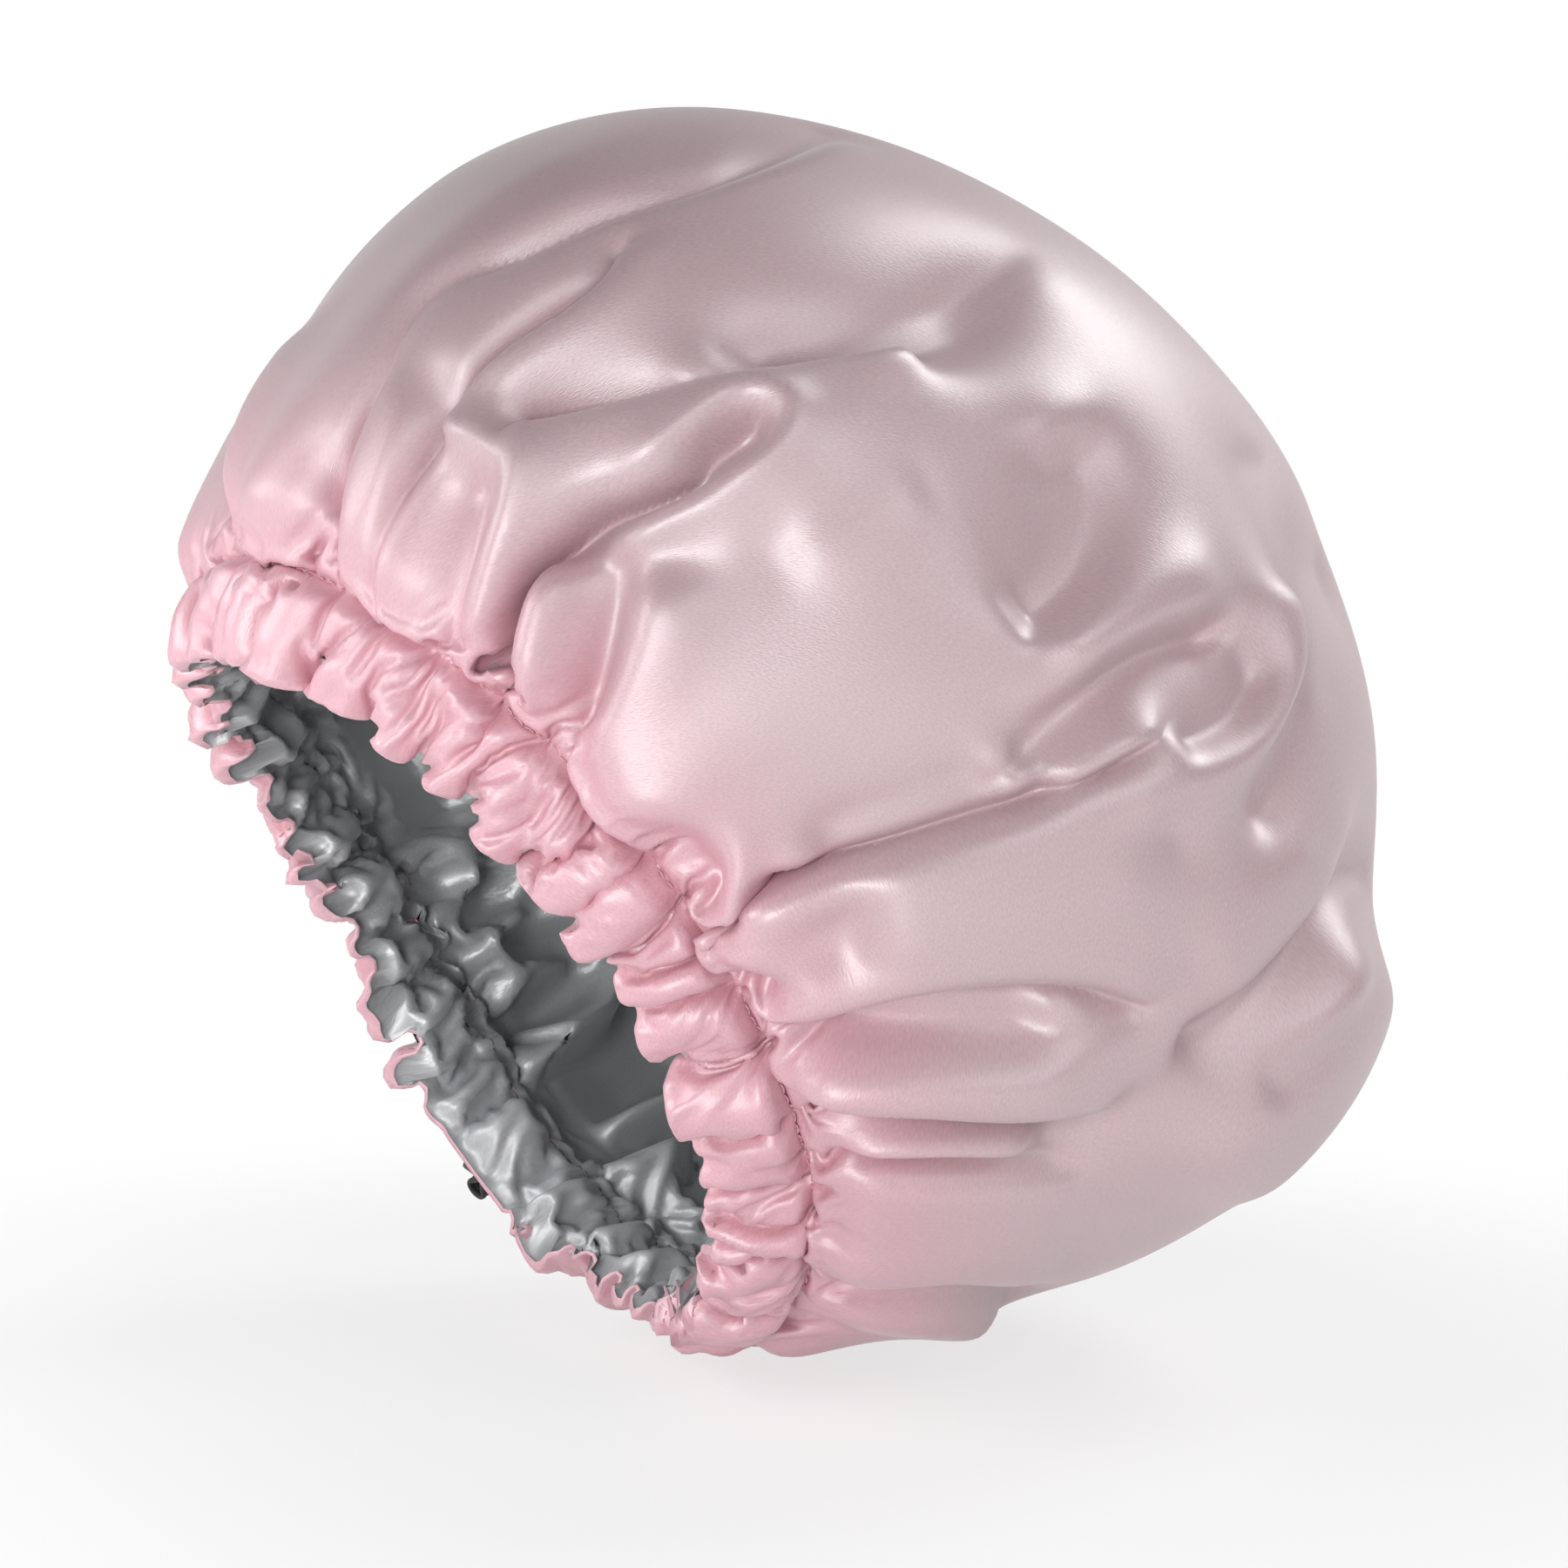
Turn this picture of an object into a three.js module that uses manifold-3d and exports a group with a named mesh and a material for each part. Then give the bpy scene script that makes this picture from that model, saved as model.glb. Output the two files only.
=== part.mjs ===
// Double-layer satin cap with an elasticated brim and a spring cord lock.
// Millimetres, +Z up, worn pose: the wearer faces -Y and the origin is the centre of the head opening.
// The cap is modelled in a frame that lies on its brim: x to the wearer's left, y from the forehead to
// the nape, z into the crown. One turn of that frame tips the brim up at the forehead.
import * as THREE from "three";
import { mergeVertices } from "three/addons/utils/BufferGeometryUtils.js";
import Module from "manifold-3d";

const wasm = await Module();
wasm.setup();

// Brim and crown (mm, degrees)
const brimTilt = 56.5;
const openingHalfDepth = 96;
const openingHalfWidth = 75;
const saddleRise = 10.5;
const casingWidth = 23;
const casingLean = 36;
const crownHalfDepth = 157;
const crownHalfWidth = 134;
const equatorHeight = 116;
const crownRise = 131;
const crownDrift = 0.06;
const bagFullness = 1.67;
const crownFullness = 1.84;

// Cloth
const clothThickness = 0.6;
const layerGap = 0.36;
const gatherCount = 48;
const edgeRuffle = 2.2;
const edgeScallop = 1.1;
const casingPuff = 2.2;
const stitchPucker = 0.8;
const pleatCount = 18;
const pleatDepth = 1.2;
const foldStart = 0.5;
const foldEnd = 0.6;
const threadDiameter = 0.5;
const seatGap = 0.3;

// Elastic band in the casing
const bandWidth = 9;
const bandThickness = 1.2;
const casingRoom = 0.6;
const casingMargin = 1;

// Exit of the band on the outer face, at the wearer's back right
const exitAngle = -50;
const exitFlare = 28;
const exitFlat = 10;
const exitFade = 26;
const calmFlat = 11;
const calmFade = 12;
const exitBend = 2.2;
const exitReach = 9;
const buttonholeRim = 1.3;
const buttonholeHeight = 0.7;

// Cord lock
const runningGap = 0.3;
const railWidth = 1.4;
const barrelWall = 2;
const baseWall = 1.3;
const plungerPlate = 1.4;
const plungerDepth = 6.2;
const pressTravel = 3;
const slideTravel = 4;
const springLength = 5.2;
const springRadius = 2.1;
const springWire = 0.4;
const springTurns = 3.5;
const buttonHeight = 2.2;
const buttonCrownRadius = 16;
const ribCount = 6;
const ribGroove = 0.35;
const bezelDish = 1.1;
const bightHeight = 7;

// Main folds of the crown, each a line from a foot by the brim to a tip: places round the brim in degrees,
// levels that it runs between, height outwards (a valley is negative) and spread to each side in degrees
const mainFolds = [
  // Forehead lobes and the valley between them
  { foot: 166, tip: 162, from: 1.0, to: 2.2, height: 5, spread: 5 },
  { foot: 156, tip: 159, from: 1.0, to: 2.4, height: -8, spread: 5 },
  { foot: 147, tip: 155, from: 1.0, to: 1.9, height: 5, spread: 4.5 },
  // Crooked ridge, long valley over it, finger fold and deep crease
  { foot: 134, tip: 150, from: 1.0, to: 1.95, height: 6, spread: 5 },
  { foot: 146, tip: 131, from: 1.5, to: 2.4, height: -7, spread: 5.5 },
  { foot: 140, tip: 127, from: 1.5, to: 2.15, height: 5, spread: 4.5 },
  { foot: 132, tip: 138, from: 1.0, to: 1.65, height: -8, spread: 4.5 },
  { foot: 118, tip: 126, from: 1.05, to: 1.65, height: 4, spread: 6 },
  // Long folds of the wearer's left side
  { foot: 98, tip: 90, from: 1.0, to: 2.15, height: -8, spread: 5.5 },
  { foot: 90, tip: 83, from: 1.0, to: 2.1, height: 5, spread: 5.5 },
  { foot: 85, tip: 76, from: 1.0, to: 1.9, height: -6, spread: 5.5 },
  { foot: 78, tip: 66, from: 1.0, to: 1.95, height: 5, spread: 5.5 },
  { foot: 71, tip: 57, from: 1.0, to: 1.85, height: -7, spread: 5.5 },
  { foot: 59, tip: 48, from: 1.0, to: 1.75, height: -5, spread: 5.5 },
  { foot: 48, tip: 40, from: 1.0, to: 1.75, height: 4, spread: 6 },
  { foot: 29, tip: 19, from: 1.0, to: 1.8, height: 4, spread: 6 },
  { foot: 93, tip: 91, from: 1.8, to: 2.35, height: -5, spread: 5 },
  { foot: 62, tip: 57, from: 1.8, to: 2.4, height: -5, spread: 6 },
  // Nape and the wearer's right side
  { foot: 8, tip: 5, from: 1.0, to: 2.0, height: -6, spread: 6 },
  { foot: -8, tip: -12, from: 1.0, to: 1.9, height: 5, spread: 6 },
  { foot: -21, tip: -18, from: 1.0, to: 2.05, height: -6, spread: 6 },
  { foot: -80, tip: -76, from: 1.0, to: 2.1, height: -7, spread: 6 },
  { foot: -92, tip: -95, from: 1.0, to: 1.9, height: 5, spread: 6 },
  { foot: -104, tip: -101, from: 1.0, to: 2.2, height: -7, spread: 6 },
  { foot: -118, tip: -122, from: 1.0, to: 1.85, height: 5, spread: 6 },
  { foot: -131, tip: -128, from: 1.0, to: 2.1, height: -7, spread: 6 },
  { foot: -146, tip: -150, from: 1.0, to: 1.95, height: 5, spread: 6 },
  { foot: -162, tip: -167, from: 1.0, to: 1.8, height: -6, spread: 6 },
  { foot: -176, tip: -179, from: 1.0, to: 2.0, height: 4, spread: 6 },
];

const satinPink = new THREE.MeshStandardMaterial({ color: 0xe3c3cb, roughness: 0.38, metalness: 0 });
const satinGrey = new THREE.MeshStandardMaterial({ color: 0x86878c, roughness: 0.4, metalness: 0 });
const threadPink = new THREE.MeshStandardMaterial({ color: 0xe0a9b6, roughness: 0.7, metalness: 0 });
const threadGrey = new THREE.MeshStandardMaterial({ color: 0x77787d, roughness: 0.7, metalness: 0 });
const elasticBlack = new THREE.MeshStandardMaterial({ color: 0x2b2b2d, roughness: 0.8, metalness: 0 });
const plasticGrey = new THREE.MeshStandardMaterial({ color: 0x3c3d3f, roughness: 0.5, metalness: 0 });
const springSteel = new THREE.MeshStandardMaterial({ color: 0xb4b6b8, roughness: 0.3, metalness: 1 });

const { degToRad, smoothstep } = THREE.MathUtils;
const turn = 2 * Math.PI;
const quarter = Math.PI / 2;
const up = new THREE.Vector3(0, 0, 1);

// The stitched ring where the casing meets the crown
const baseLean = degToRad(casingLean);
const stitchHalfDepth = openingHalfDepth + casingWidth * Math.sin(baseLean);
const stitchHalfWidth = openingHalfWidth + casingWidth * Math.sin(baseLean);
const stitchHeight = casingWidth * Math.cos(baseLean);
const exitTheta = degToRad(exitAngle);
const casingMiddle = casingWidth / 2;
const tubeHalf = bandThickness / 2 + casingRoom;
const tubeStart = casingMiddle - bandWidth / 2 - casingMargin;
const tubeEnd = casingMiddle + bandWidth / 2 + casingMargin;
const edgeGap = threadDiameter + 2 * seatGap;

function nearExit(theta, flat, fade) {
  const away = Math.abs(Math.atan2(Math.sin(theta - exitTheta), Math.cos(theta - exitTheta)));
  return 1 - smoothstep(away, degToRad(flat), degToRad(flat + fade));
}

function ringNormal(theta) {
  const across = Math.sin(theta) / stitchHalfWidth;
  const along = Math.cos(theta) / stitchHalfDepth;
  return new THREE.Vector3(across, along, 0).normalize();
}

function saddleAt(theta) {
  return saddleRise * Math.sin(theta) ** 2;
}

// Direction in the casing from the stitch line to the free edge
function edgeward(theta) {
  const lean = baseLean - degToRad(exitFlare) * nearExit(theta, exitFlat, exitFade);
  return ringNormal(theta).multiplyScalar(-Math.sin(lean)).addScaledVector(up, -Math.cos(lean));
}

// A point of the casing, by its distance from the free edge
function casingPoint(theta, fromEdge) {
  const stitch = new THREE.Vector3(
    stitchHalfWidth * Math.sin(theta),
    stitchHalfDepth * Math.cos(theta),
    stitchHeight + saddleAt(theta),
  );
  return stitch.addScaledVector(edgeward(theta), casingWidth - fromEdge);
}

// A point of the smooth cap: level 0 to 1 is the casing, 1 to 2 the bag below the widest ring, 2 to 3 above
function capPoint(theta, level) {
  if (level <= 1) {
    return casingPoint(theta, casingWidth * level);
  }
  let halfDepth = 0;
  let halfWidth = 0;
  let height = 0;
  let saddle = 0;
  if (level <= 2) {
    const arc = (level - 1) * quarter;
    const out = Math.sin(arc) ** (2 / bagFullness);
    const rise = 1 - Math.max(Math.cos(arc), 0) ** (2 / bagFullness);
    halfDepth = stitchHalfDepth + (crownHalfDepth - stitchHalfDepth) * out;
    halfWidth = stitchHalfWidth + (crownHalfWidth - stitchHalfWidth) * out;
    height = stitchHeight + (equatorHeight - stitchHeight) * rise;
    saddle = saddleAt(theta) * (1 - rise);
  } else {
    const arc = (level - 2) * quarter;
    const shrink = Math.max(Math.cos(arc), 0) ** (2 / crownFullness);
    halfDepth = crownHalfDepth * shrink;
    halfWidth = crownHalfWidth * shrink;
    height = equatorHeight + crownRise * Math.sin(arc) ** (2 / crownFullness);
  }
  return new THREE.Vector3(
    halfWidth * Math.sin(theta),
    halfDepth * Math.cos(theta) + crownDrift * (height - stitchHeight),
    height + saddle,
  );
}

// Outward normal of the smooth cap, averaged over the crease at the stitch line
function capNormal(theta, level) {
  const step = 0.01;
  const around = capPoint(theta + step, level).sub(capPoint(theta - step, level));
  const normal = new THREE.Vector3();
  const here = capPoint(theta, level);
  if (level - step >= 0) {
    const below = here.clone().sub(capPoint(theta, level - step));
    normal.add(new THREE.Vector3().crossVectors(below, around).normalize());
  }
  if (level + step <= 3) {
    const above = capPoint(theta, level + step).sub(here);
    normal.add(new THREE.Vector3().crossVectors(above, around).normalize());
  }
  return normal.normalize();
}

// Pleats that run up from the stitch line and the main folds of the crown
function drapeAt(theta, level) {
  const fade = smoothstep(level, 1, 1.2) * (1 - smoothstep(level, 1.5, 2.2));
  let drape = pleatDepth * fade * Math.cos(pleatCount * theta + 0.8 * Math.sin(3 * theta));
  for (const fold of mainFolds) {
    const share = (level - fold.from) / (fold.to - fold.from);
    const away = theta - degToRad(fold.foot + (fold.tip - fold.foot) * share);
    const turned = Math.atan2(Math.sin(away), Math.cos(away)) / degToRad(fold.spread);
    const start = smoothstep(share, 0, foldStart);
    const end = 1 - smoothstep(share, foldEnd, 1);
    drape += fold.height * start * end * Math.exp(-turned * turned);
  }
  return drape * (1 - nearExit(theta, calmFlat, calmFade));
}

// The rows of both layers, from the free edge to the crown, and how many points go round each
const columns = 2 * gatherCount;
const bagLevels = [1.12, 1.24, 1.38, 1.52, 1.66, 1.8, 1.95, 2.1];
const crownLevels = [2.25, 2.42, 2.6, 2.8];
const rows = [
  { level: 0, count: columns, kind: "edge" },
  { level: tubeStart / casingWidth, count: columns, kind: "tube" },
  { level: tubeEnd / casingWidth, count: columns, kind: "tube" },
  { level: 1, count: columns, kind: "stitch" },
  ...bagLevels.map((level) => ({ level, count: columns, kind: "crown" })),
  ...crownLevels.map((level) => ({ level, count: gatherCount, kind: "crown" })),
];

// Where the two facing surfaces of the layers lie at one point of a row, along the outward normal
function layerFaces(row, column, theta) {
  const sign = (column * (columns / row.count)) % 2 === 0 ? 1 : -1;
  const lively = 1 - nearExit(theta, calmFlat, calmFade);
  const uneven = 1 + 0.3 * Math.sin(5 * theta + 1.3) + 0.2 * Math.sin(11 * theta);
  if (row.kind === "edge") {
    const ruffle = edgeRuffle * sign * uneven * lively;
    const slide = edgeScallop * sign * lively;
    return { outer: ruffle + edgeGap / 2, inner: ruffle - edgeGap / 2, slide };
  }
  if (row.kind === "tube") {
    const puff = casingPuff * uneven * lively;
    const outerPuff = sign > 0 ? puff : 0;
    const innerPuff = sign > 0 ? 0 : puff / 2;
    return { outer: tubeHalf + outerPuff, inner: -tubeHalf - innerPuff, slide: 0 };
  }
  const shift = row.kind === "stitch" ? stitchPucker * sign * lively : drapeAt(theta, row.level);
  return { outer: shift + layerGap / 2, inner: shift - layerGap / 2, slide: 0 };
}

function layerPoint(row, column, pick) {
  const theta = (turn * column) / row.count;
  const faces = layerFaces(row, column, theta);
  const point = capPoint(theta, row.level).addScaledVector(capNormal(theta, row.level), pick(faces));
  return point.addScaledVector(edgeward(theta), faces.slide);
}

// Triangles between two rows with equal counts, or between a row and one with half as many points
function stripBetween(low, lowCount, high, highCount, triangles) {
  const step = lowCount / highCount;
  for (let k = 0; k < highCount; k += 1) {
    const next = (k + 1) % highCount;
    const start = low + k * step;
    const middle = low + ((k * step + step - 1) % lowCount);
    const end = low + ((k * step + step) % lowCount);
    if (step === 2) {
      triangles.push(start, high + k, middle);
    }
    triangles.push(middle, high + k, high + next, middle, high + next, end);
  }
}

function faceOf(pick, positions, triangles) {
  const first = positions.length / 3;
  const starts = [];
  for (const row of rows) {
    starts.push(positions.length / 3);
    for (let column = 0; column < row.count; column += 1) {
      positions.push(...layerPoint(row, column, pick).toArray());
    }
  }
  const pole = positions.length / 3;
  const poleFaces = layerFaces({ ...rows.at(-1), level: 3 }, 0, 0);
  positions.push(...capPoint(0, 3).addScaledVector(up, pick(poleFaces)).toArray());
  for (let k = 0; k + 1 < rows.length; k += 1) {
    stripBetween(starts[k], rows[k].count, starts[k + 1], rows[k + 1].count, triangles);
  }
  const last = rows.length - 1;
  for (let k = 0; k < rows[last].count; k += 1) {
    triangles.push(starts[last] + k, pole, starts[last] + ((k + 1) % rows[last].count));
  }
  return first;
}

function geometryOf(positions, triangles) {
  const geometry = new THREE.BufferGeometry();
  geometry.setAttribute("position", new THREE.Float32BufferAttribute(positions, 3));
  geometry.setIndex(triangles);
  return faceOutwards(geometry);
}

// Turns a closed surface right side out
function faceOutwards(geometry) {
  const { array } = geometry.getAttribute("position");
  const index = Array.from(geometry.getIndex().array);
  const corner = (k) => new THREE.Vector3().fromArray(array, 3 * index[k]);
  let volume = 0;
  for (let k = 0; k < index.length; k += 3) {
    volume += corner(k).dot(corner(k + 1).cross(corner(k + 2)));
  }
  if (volume < 0) {
    geometry.setIndex(index.reverse());
  }
  geometry.computeVertexNormals();
  return geometry;
}

// One layer of cloth: its two faces, joined along the free edge
function clothShell(pickOut, pickIn) {
  const positions = [];
  const outside = [];
  const inside = [];
  const firstOut = faceOf(pickOut, positions, outside);
  const firstIn = faceOf(pickIn, positions, inside);
  const rim = [];
  for (let k = 0; k < columns; k += 1) {
    const next = (k + 1) % columns;
    rim.push(firstOut + k, firstOut + next, firstIn + next, firstOut + k, firstIn + next, firstIn + k);
  }
  return geometryOf(positions, [...outside, ...inside.reverse(), ...rim]);
}

// A closed loop of constant section: each point has the directions of its section's two axes
function sweptLoop(stations, section) {
  const positions = [];
  for (const { point, first, second } of stations) {
    for (const [a, b] of section) {
      const corner = point.clone().addScaledVector(first, a).addScaledVector(second, b);
      positions.push(...corner.toArray());
    }
  }
  const sides = section.length;
  const triangles = [];
  for (let k = 0; k < stations.length; k += 1) {
    const here = k * sides;
    const ahead = ((k + 1) % stations.length) * sides;
    for (let side = 0; side < sides; side += 1) {
      const next = (side + 1) % sides;
      triangles.push(here + side, here + next, ahead + next, here + side, ahead + next, ahead + side);
    }
  }
  return geometryOf(positions, triangles);
}

function roundSection(radius, sides) {
  return Array.from({ length: sides }, (unused, k) => {
    const angle = (turn * k) / sides;
    return [radius * Math.cos(angle), radius * Math.sin(angle)];
  });
}

// A thread that follows the columns of the gathers
function threadRing(pointAt) {
  const points = Array.from({ length: columns }, (unused, column) => pointAt(column));
  const stations = points.map((point, k) => {
    const tangent = points[(k + 1) % columns].clone().sub(points[(k + columns - 1) % columns]).normalize();
    const first = new THREE.Vector3().crossVectors(tangent, up).normalize();
    const second = new THREE.Vector3().crossVectors(tangent, first);
    return { point, first, second };
  });
  return sweptLoop(stations, roundSection(threadDiameter / 2, 5));
}

// The lock's own frame on the casing: x towards the free edge, y along the brim, z outwards
function exitFrame() {
  const origin = casingPoint(exitTheta, casingMiddle);
  const x = edgeward(exitTheta);
  const z = ringNormal(exitTheta);
  z.addScaledVector(x, -z.dot(x)).normalize();
  const y = new THREE.Vector3().crossVectors(z, x);
  return new THREE.Matrix4().makeBasis(x, y, z).setPosition(origin);
}

// Solids of the lock, worked out along y from the middle of the two strands of band
const strandPitch = bandThickness + runningGap;
const stackHalf = bandThickness + runningGap / 2;
const slotHalfWidth = bandWidth / 2 + runningGap;
const plungerHalfLength = slotHalfWidth + railWidth;
const boreHalfLength = plungerHalfLength + runningGap;
const boreHalfDepth = plungerDepth / 2 + runningGap;
const barrelHalfLength = boreHalfLength + barrelWall;
const barrelHalfDepth = boreHalfDepth + barrelWall;
const plungerSlotLow = -stackHalf - runningGap;
const plungerSlotHigh = stackHalf + runningGap + pressTravel;
const plungerBottom = plungerSlotLow - plungerPlate;
const springBottom = plungerBottom - runningGap - springLength;
const boreBottom = springBottom - runningGap;
const barrelBottom = boreBottom - baseWall;
const clampEdge = stackHalf + runningGap;
const barrelRim = clampEdge + barrelWall + bezelDish;
const buttonFoot = plungerSlotHigh + plungerPlate;
const buttonTop = buttonFoot + buttonHeight;
const buttonholeTop = tubeHalf + clothThickness + seatGap + buttonholeHeight;
const lockHeight = buttonholeTop + 0.5 + barrelHalfDepth;
const bightStart = lockHeight + barrelHalfDepth + slideTravel + runningGap;

function solidOf(geometry) {
  const bare = geometry.clone();
  bare.deleteAttribute("normal");
  bare.deleteAttribute("uv");
  const merged = mergeVertices(bare, 1e-4);
  const vertProperties = Float32Array.from(merged.getAttribute("position").array);
  const triVerts = Uint32Array.from(merged.getIndex().array);
  return new wasm.Manifold(new wasm.Mesh({ numProp: 3, vertProperties, triVerts }));
}

function geometryFrom(solid) {
  const mesh = solid.getMesh();
  return geometryOf(Array.from(mesh.vertProperties), Array.from(mesh.triVerts));
}

// A flat outline in x and z, extruded along y from low to high
function prismAlongY(shape, low, high, curveSegments = 12) {
  const settings = { depth: high - low, bevelEnabled: false, curveSegments };
  const geometry = new THREE.ExtrudeGeometry(shape, settings);
  return geometry.rotateX(quarter).translate(0, high, 0);
}

function ellipseShape(halfLength, halfDepth) {
  return new THREE.Shape().absellipse(0, 0, halfLength, halfDepth, 0, turn, false, 0);
}

function roundedShape(halfLength, halfHeight, radius) {
  const shape = new THREE.Shape();
  const right = halfLength - radius;
  const top = halfHeight - radius;
  shape.absarc(right, top, radius, 0, quarter, false);
  shape.absarc(-right, top, radius, quarter, 2 * quarter, false);
  shape.absarc(-right, -top, radius, 2 * quarter, 3 * quarter, false);
  shape.absarc(right, -top, radius, 3 * quarter, turn, false);
  return shape;
}

// A slot through the lock along z, between two places along y
function slotThrough(low, high, reach) {
  const shape = roundedShape(slotHalfWidth, (high - low) / 2, 0.5);
  const settings = { depth: 2 * reach, bevelEnabled: false, curveSegments: 3 };
  const geometry = new THREE.ExtrudeGeometry(shape, settings);
  return geometry.translate(0, (low + high) / 2, -reach);
}

// Oval barrel: a waisted revolve, flattened, with its bore, a dished bezel and the slot for the band
function barrelGeometry() {
  const waist = barrelHalfLength - 0.8;
  const profile = [
    [0, barrelBottom],
    [barrelHalfLength - 2.4, barrelBottom],
    [barrelHalfLength - 1.2, barrelBottom + 0.5],
    [barrelHalfLength - 0.5, barrelBottom + 1.6],
    [waist, barrelBottom + 4],
    [waist, plungerSlotLow],
    [barrelHalfLength - 0.4, clampEdge + 0.4],
    [barrelHalfLength, barrelRim - 0.9],
    [barrelHalfLength - 0.1, barrelRim - 0.3],
    [barrelHalfLength - 0.6, barrelRim],
    [0, barrelRim],
  ].map(([radius, y]) => new THREE.Vector2(radius, y));
  const body = new THREE.LatheGeometry(profile, 40).scale(1, 1, barrelHalfDepth / barrelHalfLength);
  const dish = [
    [0, barrelRim - bezelDish],
    [boreHalfLength, barrelRim - bezelDish],
    [barrelHalfLength - 1.1, barrelRim + 0.2],
    [0, barrelRim + 0.2],
  ].map(([radius, y]) => new THREE.Vector2(radius, y));
  const dishRatio = (barrelHalfDepth - 1.1) / (barrelHalfLength - 1.1);
  const recess = new THREE.LatheGeometry(dish, 40).scale(1, 1, dishRatio);
  const bore = prismAlongY(ellipseShape(boreHalfLength, boreHalfDepth), boreBottom, barrelRim + 1, 20);
  const slot = slotThrough(plungerSlotLow - runningGap, clampEdge, barrelHalfDepth + 1);
  const bored = solidOf(body).subtract(solidOf(recess)).subtract(solidOf(bore));
  return geometryFrom(bored.subtract(solidOf(slot)));
}

// Plunger: an oval slide with a slot for the band, under an almond button with ribs along its length
function plungerGeometry() {
  const section = ellipseShape(plungerHalfLength, plungerDepth / 2);
  const slide = prismAlongY(section, plungerBottom, buttonFoot, 20);
  const slot = slotThrough(plungerSlotLow, plungerSlotHigh, plungerDepth);
  const halfLength = plungerHalfLength - 0.2;
  const halfWidth = plungerDepth / 2 - 0.1;
  const arcRadius = (halfLength ** 2 + halfWidth ** 2) / (2 * halfWidth);
  const sweep = Math.asin(halfLength / arcRadius);
  const almond = new THREE.Shape();
  almond.absarc(0, halfWidth - arcRadius, arcRadius, quarter - sweep, quarter + sweep, false);
  almond.absarc(0, arcRadius - halfWidth, arcRadius, 3 * quarter - sweep, 3 * quarter + sweep, false);
  const button = prismAlongY(almond, buttonFoot - 0.5, buttonTop + 1, 12);
  const dome = new THREE.CylinderGeometry(buttonCrownRadius, buttonCrownRadius, 2 * plungerDepth, 96);
  dome.rotateX(quarter).translate(0, buttonTop - buttonCrownRadius, 0);
  let solid = solidOf(button).intersect(solidOf(dome));
  for (let k = 1; k < ribCount; k += 1) {
    const across = -halfWidth + (2 * halfWidth * k) / ribCount;
    const groove = new THREE.CylinderGeometry(
      buttonCrownRadius + 1, buttonCrownRadius + 1, ribGroove, 96, 1,
    );
    groove.rotateX(quarter).translate(0, buttonTop - buttonCrownRadius, across);
    const keep = new THREE.CylinderGeometry(
      buttonCrownRadius - ribGroove, buttonCrownRadius - ribGroove, 4 * ribGroove, 96, 1,
    );
    keep.rotateX(quarter).translate(0, buttonTop - buttonCrownRadius, across);
    solid = solid.subtract(solidOf(groove).subtract(solidOf(keep)));
  }
  return geometryFrom(solidOf(slide).subtract(solidOf(slot)).add(solid));
}

// Compression spring behind the plunger, one open helix
function springGeometry() {
  const stepsPerTurn = 14;
  const sides = 6;
  const steps = Math.round(springTurns * stepsPerTurn);
  const wireRadius = springWire / 2;
  const rise = springLength - springWire;
  const points = [];
  const positions = [];
  for (let k = 0; k <= steps; k += 1) {
    const angle = (turn * k) / stepsPerTurn;
    const out = new THREE.Vector3(Math.cos(angle), 0, Math.sin(angle));
    const point = out.clone().multiplyScalar(springRadius);
    point.y = springBottom + wireRadius + (rise * k) / steps;
    points.push(point);
    for (const [a, b] of roundSection(wireRadius, sides)) {
      positions.push(point.x + out.x * a, point.y + b, point.z + out.z * a);
    }
  }
  const triangles = [];
  for (let k = 0; k < steps; k += 1) {
    for (let side = 0; side < sides; side += 1) {
      const next = (side + 1) % sides;
      const here = k * sides;
      const ahead = here + sides;
      triangles.push(here + side, here + next, ahead + next, here + side, ahead + next, ahead + side);
    }
  }
  const last = steps * sides;
  for (let side = 1; side + 1 < sides; side += 1) {
    triangles.push(0, side + 1, side, last, last + side, last + side + 1);
  }
  let least = Infinity;
  for (let k = 0; k < points.length; k += 1) {
    for (let other = k + stepsPerTurn / 2; other < points.length; other += 1) {
      least = Math.min(least, points[k].distanceTo(points[other]) - springWire);
    }
  }
  console.log(`lock_spring: least gap between turns ${least.toFixed(2)} mm`);
  return geometryOf(positions, triangles);
}

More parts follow.
